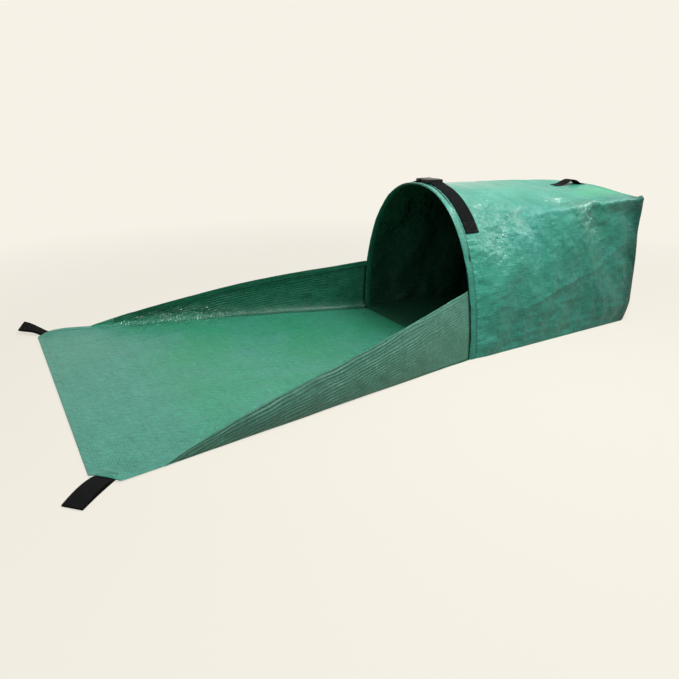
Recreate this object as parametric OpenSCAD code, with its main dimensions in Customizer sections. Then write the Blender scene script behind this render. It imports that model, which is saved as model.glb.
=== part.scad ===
// Dustpan-style garden leaf bag: a hooped bag that lies on its side, with a ground apron,
// two wing gussets that funnel into the mouth, webbing loops and a buckled closing strap.
// +Z is up, the apron points along -Y, the bag along +Y, and the ground is Z = 0.

/* [Overall] */
// Length on the ground from the front edge of the apron to the rear of the bag
total_len = 1951; // [1500:1:2400]
// Width of the apron at its front corners
apron_w = 1151; // [1000:1:1400]
// Height to the top of the buckle over the mouth
total_h = 531; // [500:1:600]

/* [Bag] */
// Length of the bag behind the mouth
bag_len = 780; // [600:1:1000]
// Outside width of the mouth on the ground
mouth_w = 668; // [560:1:760]
// Height from the crown of the mouth to the underside of the buckle
strap_stand = 5; // [5:1:20]
// Squareness of the mouth arch, where 2 is an ellipse
arch_power = 2.2; // [2:0.1:3]
// Width of the rear panel
end_w = 532; // [440:1:600]
// How far the rear panel's top is below the crown of the mouth
end_drop = 45; // [10:1:80]
// How far the rear panel's upper corners are below its top
corner_drop = 23; // [5:1:50]
// Length of bag that keeps the mouth's own section
mouth_straight = 85; // [84:1:120]
// How far the foot of the rear panel is drawn in
toe_in = 29; // [5:1:60]
// Height over which the foot of the rear panel is drawn in
toe_h = 75; // [40:1:120]

/* [Apron] */
// Size of the cut across each front corner, along each edge
corner_cut = 57; // [40:1:80]
// Height of each wing at the mouth
wing_h = 215; // [120:1:280]
// Distance from the front edge of the apron back to the tip of each wing
wing_setback = 171; // [100:1:400]
// Bow of the wing's top edge, where 1 is straight
wing_bow = 0.9; // [0.7:0.05:1]
// Inward lean of the wing for each unit of height
wing_lean = 0.015; // [0:0.005:0.015]
// Width of the folded hem along the apron's free edges
hem_w = 25; // [15:1:40]
// Width of the folded hem along the wing's top edge
wing_hem_w = 20; // [10:1:30]

/* [Cloth and thread] */
// Thickness of one layer of coated cloth
cloth_t = 1.2; // [0.8:0.1:1.6]
// Height of a row of stitches above what it is sewn to
thread_h = 0.6; // [0.3:0.1:0.8]
// Width of a row of stitches
thread_w = 1.4; // [0.8:0.1:2]

/* [Hoop and sleeve] */
// Width of the sleeve round the mouth
sleeve_w = 28; // [26:1:30]
// Width of the flat plastic hoop strip
hoop_w = 20; // [16:1:22]
// Thickness of the hoop strip
hoop_t = 2; // [1.5:0.1:3]

/* [Webbing] */
// Width of the webbing
web_w = 50; // [38:1:52]
// Thickness of the webbing
web_t = 2; // [1.4:0.1:2.4]
// Length of each corner loop beyond the cut corner
loop_len = 118; // [80:1:140]
// Height of the hole through a corner loop
loop_eye = 9; // [6:1:14]
// Length of each sewn tab of the rear handle
tab_len = 26; // [22:1:40]
// Free length of the rear handle between its tabs
handle_span = 86; // [80:1:130]
// Height of the hole under the rear handle
handle_rise = 20; // [16:1:30]
// Distance from the rear panel to the middle of the rear handle
handle_inset = 100; // [90:1:160]
// Arc angle at which the closing strap is sewn on, from the ground to the crown
strap_angle = 46; // [40:1:52]
// Arc angle taken by the sewn end of the closing strap
strap_sewn = 6; // [5:0.5:8]

/* [Buckle] */
// Length of the closed buckle
buckle_len = 92; // [84:1:104]
// Width of the buckle
buckle_w = 64; // [62:1:70]
// Thickness of the buckle
buckle_t = 14; // [13.5:0.5:15.5]
// Wall of the socket half
socket_wall = 3; // [2.5:0.1:3.2]
// Thickness of each sprung prong
prong_t = 5; // [4:0.1:6]
// Gap between a relaxed prong and the side wall of the socket half
prong_room = 1; // [0.5:0.1:2]

/* [Clearances] */
// Gap between the apron's rear edge and the mouth
fold_gap = 0.5; // [0.4:0.1:1]
// Side room that lets the wings swing past the bag
wing_clear = 2; // [2:0.1:3]
// Gap between soft pieces that are sewn or slid together
seat = 0.3; // [0.2:0.05:0.4]

/* [Hidden] */

cloth_green = "#3f9f80";
cloth_dark = "#2f7f66";
web_black = "#15171a";
plastic_black = "#1c1e20";
thread_green = "#2c6f5a";

// Outside height of the mouth hoop, under the buckle
mouth_h = total_h - buckle_t - strap_stand;
end_h = mouth_h - end_drop;
end_corner_h = end_h - corner_drop;

// The corner loops reach past the front edge, and the box of the whole part is centred on the origin
apron_len = total_len - bag_len;
loop_reach = (loop_len + web_w / 2) * sqrt(0.5) - corner_cut / 2;
mouth_y = (apron_len + loop_reach - bag_len) / 2;

// Mouth arch, from the ground (u = 0) to the crown (u = 1), evenly spaced along its length
arch_steps = 60;
function arch_point(a, grow) = [
    (mouth_w / 2 + grow) * pow(cos(a), 2 / arch_power),
    (mouth_h + grow) * pow(sin(a), 2 / arch_power)
];
arch_fine = [for (i = [0:arch_steps]) arch_point(90 * i / arch_steps, 0)];
arch_run = [for (i = 0, s = 0; i <= arch_steps; s = s + (i < arch_steps ? norm(arch_fine[i + 1] - arch_fine[i]) : 0),
    i = i + 1) s];
arch_angles = [for (i = [0:arch_steps]) [arch_run[i] / arch_run[arch_steps], 90 * i / arch_steps]];
function arch_at(u, grow) = arch_point(lookup(u, arch_angles), grow);

// Rear outline: up the side to the corner, then over the crowned top
end_run = end_corner_h + end_w / 2;
corner_u = end_corner_h / end_run;
function end_at(u, grow) =
    u <= corner_u
        ? [end_w / 2 + grow, (end_corner_h + grow) * u / corner_u]
        : let (v = (u - corner_u) / (1 - corner_u))
            [(end_w / 2 + grow) * (1 - v), end_corner_h + grow + (end_h - end_corner_h) * (1 - cos(180 * v)) / 2];
function end_y(z) = bag_len - toe_in * pow(max(0, 1 - z / toe_h), 1.5);

// One point of the wrap: w = 0 is where the mouth's own section ends, and w = 1 is the rear
side_cols = 12;
top_cols = 9;
wrap_rows = 8;
half_u = concat(
    [for (i = [0:side_cols]) corner_u * i / side_cols],
    [for (i = [1:top_cols]) corner_u + (1 - corner_u) * i / top_cols]
);
function wrap_xz(u, w, grow) = arch_at(u, grow) * (1 - w) + end_at(u, grow) * w;
function wrap_y(u, w) = mouth_straight + (end_y(end_at(u, 0)[1]) - mouth_straight) * w;
function wrap_point(side, u, w, y, grow) =
    let (p = wrap_xz(u, w, grow)) [side * p[0], mouth_y + y, p[1]];
function wrap_ring(w, flat_y, grow) = concat(
    [for (u = half_u) wrap_point(1, u, w, flat_y >= 0 ? flat_y : wrap_y(u, w), grow)],
    [for (i = [len(half_u) - 2:-1:0])
        wrap_point(-1, half_u[i], w, flat_y >= 0 ? flat_y : wrap_y(half_u[i], w), grow)]
);
function wrap_grid(grow) = concat(
    [wrap_ring(0, 0, grow)],
    [for (i = [0:wrap_rows]) wrap_ring(i / wrap_rows, -1, grow)]
);
function top_z(y) =
    mouth_h + (end_h - mouth_h) * max(0, y - mouth_straight) / (bag_len - mouth_straight);

// Apron edge: half width at a distance t in front of the mouth
wing_len = apron_len - wing_setback;
apron_half = mouth_w / 2 + wing_clear;
edge_slope = (apron_w / 2 - apron_half) / (apron_len - corner_cut - fold_gap);
function edge_x(t) = apron_half + edge_slope * (t - fold_gap);
function wing_top(t) = wing_h * pow(max(0, 1 - t / wing_len), wing_bow);
function wing_x(t, z) = edge_x(t) + wing_lean * (cloth_t - z);
wing_cols = 16;
wing_tip = wing_len * 0.985;
function wing_t(i) = fold_gap + (wing_tip - fold_gap) * i / wing_cols;

// Buckle seat over the crown
buckle_z = total_h - buckle_t / 2;
strap_y = mouth_y + 30 + web_w / 2;
strap_end_x = buckle_len / 2 + 2;
strap_depth = 8;
socket_in = buckle_len / 2 - strap_depth - 2 - socket_wall;
prong_y = buckle_w / 2 - socket_wall - prong_room - prong_t / 2;

// A closed sheet between two grids of points with the same rows and columns
module sheet(outer, inner) {
    rows = len(outer);
    cols = len(outer[0]);
    half = rows * cols;
    points = [for (grid = [outer, inner]) for (row = grid) for (p = row) p];
    function at(r, c) = r * cols + c;
    skin = [for (r = [0:rows - 2]) for (c = [0:cols - 2])
        each [[at(r, c), at(r + 1, c), at(r + 1, c + 1)], [at(r, c), at(r + 1, c + 1), at(r, c + 1)]]];
    lining = [for (f = skin) [f[2] + half, f[1] + half, f[0] + half]];
    front = [for (c = [0:cols - 2])
        each [[at(0, c), at(0, c + 1), at(0, c + 1) + half], [at(0, c), at(0, c + 1) + half, at(0, c) + half]]];
    back = [for (c = [0:cols - 2]) let (r = rows - 1)
        each [[at(r, c), at(r, c) + half, at(r, c + 1) + half], [at(r, c), at(r, c + 1) + half, at(r, c + 1)]]];
    start = [for (r = [0:rows - 2])
        each [[at(r, 0), at(r, 0) + half, at(r + 1, 0) + half], [at(r, 0), at(r + 1, 0) + half, at(r + 1, 0)]]];
    end = [for (r = [0:rows - 2]) let (c = cols - 1)
        each [[at(r, c), at(r + 1, c), at(r + 1, c) + half], [at(r, c), at(r + 1, c) + half, at(r, c) + half]]];
    polyhedron(points, concat(skin, lining, front, back, start, end));
}

// Outline of a strip of even thickness along a line of points
function heading(line, i) =
    let (d = line[min(i + 1, len(line) - 1)] - line[max(i - 1, 0)]) d / norm(d);
function strip(line, thick) =
    let (left = [for (i = [0:len(line) - 1]) let (d = heading(line, i)) line[i] + [-d[1], d[0]] * thick / 2])
    let (right = [for (i = [len(line) - 1:-1:0]) let (d = heading(line, i)) line[i] - [-d[1], d[0]] * thick / 2])
    concat(left, right);

// Stand an X-Z outline up and run it along +Y from y
module along_y(y, length) {
    translate([0, y + length, 0]) rotate([90, 0, 0]) linear_extrude(length) children();
}

// Stand a Y-Z outline up and centre it on X = 0
module along_x(length) {
    translate([-length / 2, 0, 0]) rotate([90, 0, 90]) linear_extrude(length) children();
}

module mirrored(side) {
    mirror([side < 0 ? 1 : 0, 0, 0]) children();
}

// Band between two offsets of the mouth arch, kept above the floor panel
function arch_line(grow) = concat(
    [for (u = half_u) arch_at(u, grow)],
    [for (i = [len(half_u) - 2:-1:0]) let (p = arch_at(half_u[i], grow)) [-p[0], p[1]]]
);
module arch_band(low, high) {
    inside = arch_line(low);
    difference() {
        polygon(concat(arch_line(high), [for (i = [len(inside) - 1:-1:0]) inside[i]]));
        translate([-mouth_w, -mouth_h]) square([2 * mouth_w, mouth_h + cloth_t + seat]);
    }
}

module bag_floor() {
    half = mouth_w / 2 - cloth_t - seat;
    end_half = end_w / 2 - cloth_t - seat;
    back = mouth_y + end_y(0) - cloth_t - seat;
    color(cloth_green)
    linear_extrude(cloth_t)
    polygon([
        [half, mouth_y], [half, mouth_y + mouth_straight], [end_half, back],
        [-end_half, back], [-half, mouth_y + mouth_straight], [-half, mouth_y]
    ]);
}

module bag_wrap() {
    color(cloth_green) sheet(wrap_grid(0), wrap_grid(-cloth_t));
}

function end_grid(depth) = [for (u = half_u)
    let (p = end_at(min(u, 0.995), -cloth_t - seat))
    [for (side = [-1, 1]) [side * p[0], mouth_y + end_y(p[1]) - depth, p[1]]]];
module bag_end() {
    color(cloth_dark) sheet(end_grid(cloth_t), end_grid(0));
}

sleeve_high = -cloth_t - seat / 2;
hoop_high = sleeve_high - seat / 2;
hoop_low = hoop_high - hoop_t;
sleeve_low = hoop_low - seat - cloth_t;
module mouth_sleeve() {
    edge = (sleeve_w - hoop_w) / 2 - seat;
    color(cloth_dark)
    difference() {
        along_y(mouth_y, sleeve_w) arch_band(sleeve_low, sleeve_high);
        along_y(mouth_y + edge, sleeve_w - 2 * edge) arch_band(hoop_low - seat, sleeve_high + 1);
    }
}

module hoop_strip() {
    color(plastic_black)
    along_y(mouth_y + (sleeve_w - hoop_w) / 2, hoop_w) arch_band(hoop_low, hoop_high);
}

module sleeve_stitching() {
    inset = 3;
    color(thread_green)
    for (y = [inset, sleeve_w - inset]) {
        along_y(mouth_y + y - thread_w / 2, thread_w) arch_band(0, thread_h);
    }
}

// Closing strap: sewn to the shoulder, then standing off the crown until it enters the buckle
strap_cols = 12;
strap_low = thread_h + seat + web_t / 2;
strap_high = buckle_z - mouth_h;
function strap_grow(k) = strap_low + (strap_high - strap_low) * (1 - cos(180 * k)) / 2;
strap_top_angle = 84;
strap_line = concat(
    [for (i = [0:2]) arch_point(strap_angle + strap_sewn * i / 2, strap_low)],
    [for (i = [1:strap_cols - 1]) let (k = i / strap_cols)
        arch_point(strap_angle + strap_sewn + (strap_top_angle - strap_angle - strap_sewn) * k, strap_grow(k))],
    [[strap_end_x, buckle_z], [strap_end_x - strap_depth - 2, buckle_z]]
);
module strap(side) {
    color(web_black)
    mirrored(side)
    along_y(strap_y - web_w / 2, web_w) polygon(strip(strap_line, web_t));
}

// A box of stitches with a cross in it, laid flat on Z = 0
module box_cross(length, width) {
    along = norm([length, width]);
    difference() {
        translate([-length / 2, -width / 2, 0]) cube([length, width, thread_h]);
        translate([-length / 2 + thread_w, -width / 2 + thread_w, -1])
            cube([length - 2 * thread_w, width - 2 * thread_w, thread_h + 2]);
    }
    intersection() {
        translate([-length / 2, -width / 2, 0]) cube([length, width, thread_h]);
        for (turn = [-1, 1]) {
            rotate([0, 0, turn * atan(width / length)])
                translate([-along / 2, -thread_w / 2, 0]) cube([along, thread_w, thread_h]);
        }
    }
}

stitch_inset = 5;
module strap_stitching() {
    first = strap_line[0];
    last = strap_line[2];
    run = norm(last - first);
    middle = (first + last) / 2;
    slope = atan2(last[1] - first[1], last[0] - first[0]);
    sag = norm(strap_line[1] - middle);
    color(web_black)
    for (side = [-1, 1]) {
        mirrored(side)
        translate([middle[0], strap_y, middle[1]])
        rotate([0, -slope, 0])
        translate([0, 0, -sag - web_t / 2 - thread_h])
        box_cross(run - 2 * stitch_inset, web_w - 2 * stitch_inset);
    }
}

module buckle_block(x, length, width, thick) {
    translate([x, strap_y - width / 2, buckle_z - thick / 2]) cube([length, width, thick]);
}

module web_slot(x, length) {
    buckle_block(x, length, web_w + 2 * seat, web_t + 2 * seat);
}

pocket_w = buckle_w - 2 * socket_wall;
pocket_t = buckle_t - 2 * socket_wall;
module buckle_socket() {
    color(plastic_black)
    difference() {
        buckle_block(0, buckle_len / 2, buckle_w, buckle_t);
        buckle_block(-1, socket_in + 1, pocket_w, pocket_t);
        buckle_block(socket_in * 0.45, socket_in * 0.4, buckle_w + 2, pocket_t);
        web_slot(buckle_len / 2 - strap_depth - 1, strap_depth + 2);
    }
}

tongue_w = 10;
prong_len = socket_in - 2;
module buckle_plug() {
    base = buckle_len / 2 - seat;
    guide = pocket_t - 2 * seat;
    color(plastic_black) {
        difference() {
            buckle_block(-buckle_len / 2, base, buckle_w, buckle_t);
            web_slot(-buckle_len / 2 - 1, strap_depth + 2);
        }
        buckle_block(-seat, socket_in - 1, tongue_w, guide);
    }
}

module buckle_prong(side) {
    reach = prong_len - seat;
    color(plastic_black)
    translate([0, side * prong_y, 0])
    buckle_block(seat, reach, prong_t, pocket_t - 4 * seat);
}

// Rear handle: one webbing strip with both ends sewn down and the middle bowed up
handle_y = bag_len - handle_inset;
handle_tilt = atan((top_z(handle_y + 1) - top_z(handle_y - 1)) / 2);
module on_handle_seat() {
    translate([0, mouth_y + handle_y, top_z(handle_y) + seat]) rotate([handle_tilt, 0, 0]) children();
}

module handle_tab(side) {
    far = side * (handle_span / 2 + tab_len);
    near = side * (handle_span / 2 + seat);
    color(web_black)
    on_handle_seat()
    translate([-web_w / 2, min(far, near), 0]) cube([web_w, tab_len - seat, web_t]);
}

module handle_stitching() {
    color(web_black)
    on_handle_seat()
    for (side = [-1, 1]) {
        translate([0, side * (handle_span + tab_len) / 2, web_t])
            box_cross(web_w - 2 * stitch_inset, tab_len - 2 * stitch_inset);
    }
}

handle_cols = 16;
handle_line = [for (i = [0:handle_cols]) let (k = i / handle_cols)
    [handle_span * (k - 0.5), web_t / 2 + handle_rise * (1 - cos(360 * k)) / 2]];
module rear_handle() {
    color(web_black) on_handle_seat() along_x(web_w) polygon(strip(handle_line, web_t));
}

function apron_outline() = [
    [apron_half, -fold_gap], [apron_w / 2, corner_cut - apron_len], [apron_w / 2 - corner_cut, -apron_len]
];
module apron_floor() {
    edge = apron_outline();
    color(cloth_green)
    translate([0, mouth_y, 0])
    linear_extrude(cloth_t)
    polygon(concat(edge, [for (i = [2:-1:0]) [-edge[i][0], edge[i][1]]]));
}

module apron_hem() {
    start = wing_len;
    inner_cut = corner_cut - hem_w * (2 - sqrt(2));
    outer = [[edge_x(start), -start], [apron_w / 2, corner_cut - apron_len],
        [apron_w / 2 - corner_cut, -apron_len]];
    inner = [[apron_w / 2 - hem_w - inner_cut, hem_w - apron_len],
        [apron_w / 2 - hem_w, hem_w + inner_cut - apron_len], [edge_x(start) - hem_w, -start]];
    half = concat(outer, [for (i = [2:-1:0]) [-outer[i][0], outer[i][1]]]);
    back = concat([for (i = [2:-1:0]) [-inner[i][0], inner[i][1]]], inner);
    color(cloth_dark)
    translate([0, mouth_y, cloth_t])
    linear_extrude(cloth_t)
    polygon(concat(half, back));
}

// Wing gusset: stands on the apron's edge and runs down to nothing at its tip
function wing_grid(drop, grow) = [for (i = [0:wing_cols]) let (t = wing_t(i), top = wing_top(t))
    [for (k = [0:1]) let (z = k == 0 ? top - min(drop, top) : top)
        [wing_x(t, z) + grow, mouth_y - t, z]]];
module wing(side) {
    color(cloth_green)
    mirrored(side) sheet(wing_grid(wing_h, 0), wing_grid(wing_h, cloth_t));
}

module wing_hem(side) {
    full = wing_grid(wing_hem_w, 0);
    lined = wing_grid(wing_hem_w, -cloth_t);
    kept = [for (i = [0:wing_cols]) if (wing_top(wing_t(i)) > wing_hem_w + cloth_t + seat) i];
    color(cloth_dark)
    mirrored(side) sheet([for (i = kept) lined[i]], [for (i = kept) full[i]]);
}

// Corner loop: webbing folded back on itself, with its bend outwards and a low hole through it
loop_cols = 14;
loop_root = 0.6;
function loop_top(k) = 1.5 * web_t + seat + loop_eye * sin(180 * pow(k, 0.7));
loop_line = concat(
    [[loop_root, web_t / 2], [loop_len * 0.5, web_t / 2], [loop_len - web_t, web_t / 2]],
    [for (i = [loop_cols:-1:0]) let (k = i / loop_cols)
        [loop_root + (loop_len - web_t / 2 - loop_root) * k, loop_top(k)]]
);
module at_corner(side) {
    mirrored(side)
    translate([apron_w / 2 - corner_cut / 2, mouth_y + corner_cut / 2 - apron_len, 0])
    rotate([0, 0, 45])
    children();
}

module corner_loop(side) {
    color(web_black)
    at_corner(side)
    rotate([0, 0, 180])
    along_x(web_w) polygon(strip(loop_line, web_t));
}

module loop_stitching() {
    color(thread_green)
    for (side = [-1, 1]) {
        at_corner(side)
        translate([0, hem_w / 2, 2 * cloth_t])
        box_cross(web_w, hem_w - 2 * stitch_inset);
    }
}

bag_floor();
bag_wrap();
bag_end();
mouth_sleeve();
hoop_strip();
sleeve_stitching();
strap(1);  // strap_right
strap(-1);  // strap_left
strap_stitching();
buckle_socket();
buckle_plug();
buckle_prong(-1);  // buckle_prong_front
buckle_prong(1);  // buckle_prong_rear
handle_tab(-1);  // handle_tab_front
handle_tab(1);  // handle_tab_rear
handle_stitching();
rear_handle();
apron_floor();
apron_hem();
wing(1);  // wing_right
wing(-1);  // wing_left
wing_hem(1);  // wing_hem_right
wing_hem(-1);  // wing_hem_left
corner_loop(1);  // corner_loop_right
corner_loop(-1);  // corner_loop_left
loop_stitching();
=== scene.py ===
"""Looks of the dustpan-style garden leaf bag: coated woven cloth, webbing and a buckle."""
import math

import bmesh
import bpy
import numpy as np
from mathutils import Matrix, Vector


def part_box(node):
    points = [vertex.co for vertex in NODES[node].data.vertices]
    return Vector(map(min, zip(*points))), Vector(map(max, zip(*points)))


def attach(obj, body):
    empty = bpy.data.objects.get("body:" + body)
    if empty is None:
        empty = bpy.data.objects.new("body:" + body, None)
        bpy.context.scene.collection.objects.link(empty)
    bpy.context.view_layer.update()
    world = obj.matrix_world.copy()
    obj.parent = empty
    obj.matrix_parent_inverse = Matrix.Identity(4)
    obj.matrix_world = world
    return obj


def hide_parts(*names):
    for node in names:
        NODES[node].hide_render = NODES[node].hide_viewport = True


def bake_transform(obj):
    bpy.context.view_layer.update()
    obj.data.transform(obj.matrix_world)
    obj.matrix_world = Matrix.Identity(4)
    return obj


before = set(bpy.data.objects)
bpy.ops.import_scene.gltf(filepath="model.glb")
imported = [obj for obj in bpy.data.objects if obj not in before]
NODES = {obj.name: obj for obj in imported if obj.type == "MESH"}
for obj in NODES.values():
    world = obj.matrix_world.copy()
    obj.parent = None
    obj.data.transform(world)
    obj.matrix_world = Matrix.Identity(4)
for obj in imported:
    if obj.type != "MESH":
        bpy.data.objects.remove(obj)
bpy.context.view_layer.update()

# ---- sizes, in metres, from the frame ----
WRAP_LOW, WRAP_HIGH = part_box("bag_wrap")
END_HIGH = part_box("bag_end")[1]
APRON_LOW, APRON_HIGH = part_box("apron_floor")
WING_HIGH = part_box("wing_right")[1]
SLEEVE_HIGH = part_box("mouth_sleeve")[1]
STRAP_LOW, STRAP_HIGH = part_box("strap_right")
TAB_FRONT_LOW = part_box("handle_tab_front")[0]
TAB_REAR_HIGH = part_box("handle_tab_rear")[1]

MOUTH_Y = WRAP_LOW.y
MOUTH_HALF = WRAP_HIGH.x
MOUTH_H = WRAP_HIGH.z - 0.003
BAG_LEN = WRAP_HIGH.y - MOUTH_Y
CLOTH = 0.0008
CAD_CLOTH = 0.0012
SEAT = 0.0003
END_HALF = END_HIGH.x + CAD_CLOTH + SEAT
END_H = END_HIGH.z + CAD_CLOTH + SEAT
CORNER_H = END_H - 0.023
TOE_IN = 0.029
TOE_H = 0.075
ARCH_EXP = 2 / 2.2
STRAIGHT = 0.06
APRON_LEN = MOUTH_Y - APRON_LOW.y
APRON_HALF = APRON_HIGH.x
REAR_HALF = MOUTH_HALF + 0.002
FOLD_GAP = 0.0005
CORNER_CUT = 0.057
HEM_W = 0.025
WING_H = WING_HIGH.z
WING_LEN = APRON_LEN - 0.171
WING_REACH = WING_LEN + 0.014
WING_HEM_W = 0.020
SLEEVE_W = SLEEVE_HIGH.y - MOUTH_Y
SEAM_Y = SLEEVE_W - 0.003
WEB_W = 0.050
WEB_T = 0.002


# ---- noise ----
RNG = np.random.default_rng(11)
PERM = RNG.permutation(256)
SPIN = RNG.uniform(0, 2 * math.pi, 256)


def smooth(x, low, high):
    """0 below low, 1 above high, and smooth between."""
    t = np.clip((np.asarray(x, float) - low) / (high - low), 0, 1)
    return t * t * (3 - 2 * t)


def bell(x, width, power=2):
    """1 at 0, and falling to nothing on both sides."""
    return np.exp(-((x / width) ** power))


def perlin(x, y, seed=0):
    """Gradient noise from -0.7 to 0.7, one feature for each unit."""
    ix, iy = np.floor(x).astype(int), np.floor(y).astype(int)
    fx, fy = x - ix, y - iy
    u = fx ** 3 * (fx * (fx * 6 - 15) + 10)
    v = fy ** 3 * (fy * (fy * 6 - 15) + 10)

    def corner(dx, dy):
        h = PERM[(PERM[(ix + dx + seed * 17) & 255] + iy + dy + seed * 7) & 255]
        return np.cos(SPIN[h]) * (fx - dx) + np.sin(SPIN[h]) * (fy - dy)

    low = corner(0, 0) * (1 - u) + corner(1, 0) * u
    high = corner(0, 1) * (1 - u) + corner(1, 1) * u
    return low * (1 - v) + high * v


def cloudy(x, y, octaves=3, seed=0):
    total, share = 0, 1
    for k in range(octaves):
        total = total + share * perlin(x * 2 ** k, y * 2 ** k, seed + k)
        share *= 0.5
    return total


def facets(x, y, length, seed=0, count=5):
    """Straight sharp creases that cross, as in crumpled film: from -1 to 1."""
    rng = np.random.default_rng(seed)
    bend_x = 0.5 * perlin(x / length / 2.5, y / length / 2.5, seed)
    bend_y = 0.5 * perlin(x / length / 2.5, y / length / 2.5, seed + 5)
    total = 0
    for k in range(count):
        angle = rng.uniform(0, math.pi)
        size = length * rng.uniform(0.7, 1.6)
        ramp = (x * math.cos(angle) + y * math.sin(angle)) / size + rng.uniform(0, 1)
        ramp = ramp + bend_x * math.cos(angle) + bend_y * math.sin(angle)
        wave = np.abs(2 * (ramp - np.floor(ramp)) - 1) * 2 - 1
        local = 0.5 + 1.2 * perlin(x / length / 2, y / length / 2, seed + 11 + k)
        total = total + wave * np.clip(local, 0, 1.2)
    return total / count * 1.6


def ridge(x, y, line, high, wide_above, wide_below):
    """A sharp fold along a line of points, tapering to nothing at both ends."""
    best = np.full(np.shape(x), 1e9)
    height = np.zeros(np.shape(x))
    line = np.asarray(line, float)
    runs = np.hypot(*np.diff(line, axis=0).T)
    whole, done = runs.sum(), 0
    for a, b, run in zip(line[:-1], line[1:], runs):
        d = (b - a) / run
        t = np.clip((x - a[0]) * d[0] + (y - a[1]) * d[1], 0, run)
        off_x, off_y = x - a[0] - t * d[0], y - a[1] - t * d[1]
        gap = np.hypot(off_x, off_y)
        above = d[0] * off_y - d[1] * off_x > 0
        wide = np.where(above, wide_above, wide_below)
        along = (done + t) / whole
        lift = high * np.exp(-gap / wide) * np.sin(math.pi * np.clip(along, 0.02, 0.98)) ** 0.6
        near = gap < best
        height = np.where(near, lift, height)
        best = np.minimum(best, gap)
        done += run
    return height


# ---- the bag's own surface ----
def arch_table():
    angle = np.linspace(0, math.pi / 2, 1500)
    x = MOUTH_HALF * np.cos(angle).clip(0) ** ARCH_EXP
    z = MOUTH_H * np.sin(angle) ** ARCH_EXP
    run = np.concatenate([[0], np.cumsum(np.hypot(np.diff(x), np.diff(z)))])
    return run / run[-1], x, z, run[-1]


ARCH_U, ARCH_X, ARCH_Z, ARCH_RUN = arch_table()
CORNER_U = CORNER_H / (CORNER_H + END_HALF)


def arch_at(u):
    return np.interp(u, ARCH_U, ARCH_X), np.interp(u, ARCH_U, ARCH_Z)


def arch_x(z):
    """Half width of the mouth at a height."""
    return np.interp(z, ARCH_Z, ARCH_X)


def end_at(u):
    rise = np.clip((u - CORNER_U) / (1 - CORNER_U), 0, 1)
    x = END_HALF * (1 - rise)
    top = CORNER_H + (END_H - CORNER_H) * (1 - np.cos(math.pi * rise)) / 2
    return x, np.where(u <= CORNER_U, CORNER_H * u / CORNER_U, top)


def end_y(z):
    """Rear edge: it kicks in towards the floor, and a little under the pointed top corner."""
    return BAG_LEN - TOE_IN * np.maximum(0, 1 - z / TOE_H) ** 1.5 - 0.008 * bell(z - 0.33, 0.065)


def loft(s, v):
    """Smooth shape of the wrap: s from the right foot (0) over the crown (1) to the left (2)."""
    u = 1 - np.abs(s - 1)
    side = np.where(s <= 1, 1.0, -1.0)
    ax, az = arch_at(u)
    ex, ez = end_at(u)
    back = end_y(ez)
    y = v * back
    y = y + 0.0024 * np.exp(-y / 0.008) * smooth(u, 0.02, 0.10)
    w = np.clip((y - STRAIGHT) / (back - STRAIGHT), 0, 1)
    w = w * smooth(w, -0.12, 0.12)
    return np.stack([side * (ax * (1 - w) + ex * w), MOUTH_Y + y, az * (1 - w) + ez * w], -1)


def grid_normals(p):
    down = np.gradient(p, axis=0)
    along = np.gradient(p, axis=1)
    n = np.cross(down, along)
    return n / np.maximum(np.linalg.norm(n, axis=-1, keepdims=True), 1e-12)


# ---- mesh helpers ----
def grid_quads(index):
    """Faces of a grid of points, from their numbers."""
    return np.stack([index[:-1, :-1], index[1:, :-1], index[1:, 1:], index[:-1, 1:]], -1).reshape(-1, 4)


def link(obj):
    bpy.context.scene.collection.objects.link(obj)
    return obj


def mesh_object(name, points, faces, mats, mat_index=None, masks=None, sharp=55):
    mesh = bpy.data.meshes.new(name)
    mesh.from_pydata(np.asarray(points, float).tolist(), [], [list(map(int, f)) for f in faces])
    for m in mats:
        mesh.materials.append(m)
    if mat_index is not None:
        mesh.polygons.foreach_set("material_index", np.asarray(mat_index, np.int32))
    mesh.polygons.foreach_set("use_smooth", np.ones(len(mesh.polygons), bool))
    for key, values in (masks or {}).items():
        values = np.asarray(values, np.float32)
        kind = "FLOAT_VECTOR" if values.ndim == 2 else "FLOAT"
        attribute = mesh.attributes.new(key, kind, "POINT")
        attribute.data.foreach_set("vector" if values.ndim == 2 else "value", values.ravel())
    mesh.validate()
    mesh.update()
    mesh.set_sharp_from_angle(angle=math.radians(sharp))
    return link(bpy.data.objects.new(name, mesh))


def closed_sheet(name, outer, pat, thick, mats, masks=None, flip=False):
    """A closed sheet from a grid of points on its outer face."""
    rows, cols = outer.shape[:2]
    inner = outer - grid_normals(outer) * (-thick if flip else thick)
    count = rows * cols
    points = np.concatenate([outer.reshape(-1, 3), inner.reshape(-1, 3)])
    index = np.arange(count).reshape(rows, cols)
    quads = grid_quads(index)
    loop = np.concatenate([index[:-1, 0], index[-1, :-1], index[:0:-1, -1], index[0, :0:-1]])
    after = np.roll(loop, -1)
    rim = np.stack([loop, loop + count, after + count, after], -1)
    if flip:
        quads, rim = quads[:, ::-1], rim[:, ::-1]
    faces = np.concatenate([quads, quads[:, ::-1] + count, rim])
    mat_index = np.concatenate([np.zeros(len(quads)), np.ones(len(quads)), np.zeros(len(rim))])
    if len(mats) == 1:
        mat_index[:] = 0
    flat = np.concatenate([pat.reshape(-1, 2), np.zeros((count, 1))], 1)
    every = {"pat": np.concatenate([flat, flat])}
    masks = {"patch": 0.5, "gloss": 0.2, **(masks or {})}
    for key, values in masks.items():
        values = np.broadcast_to(values, (rows, cols)).ravel()
        every[key] = np.concatenate([values, values])
    return mesh_object(name, points, faces, mats, mat_index, every)


def run_of(line):
    return np.concatenate([[0], np.cumsum(np.linalg.norm(np.diff(line, axis=0), axis=1))])


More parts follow.
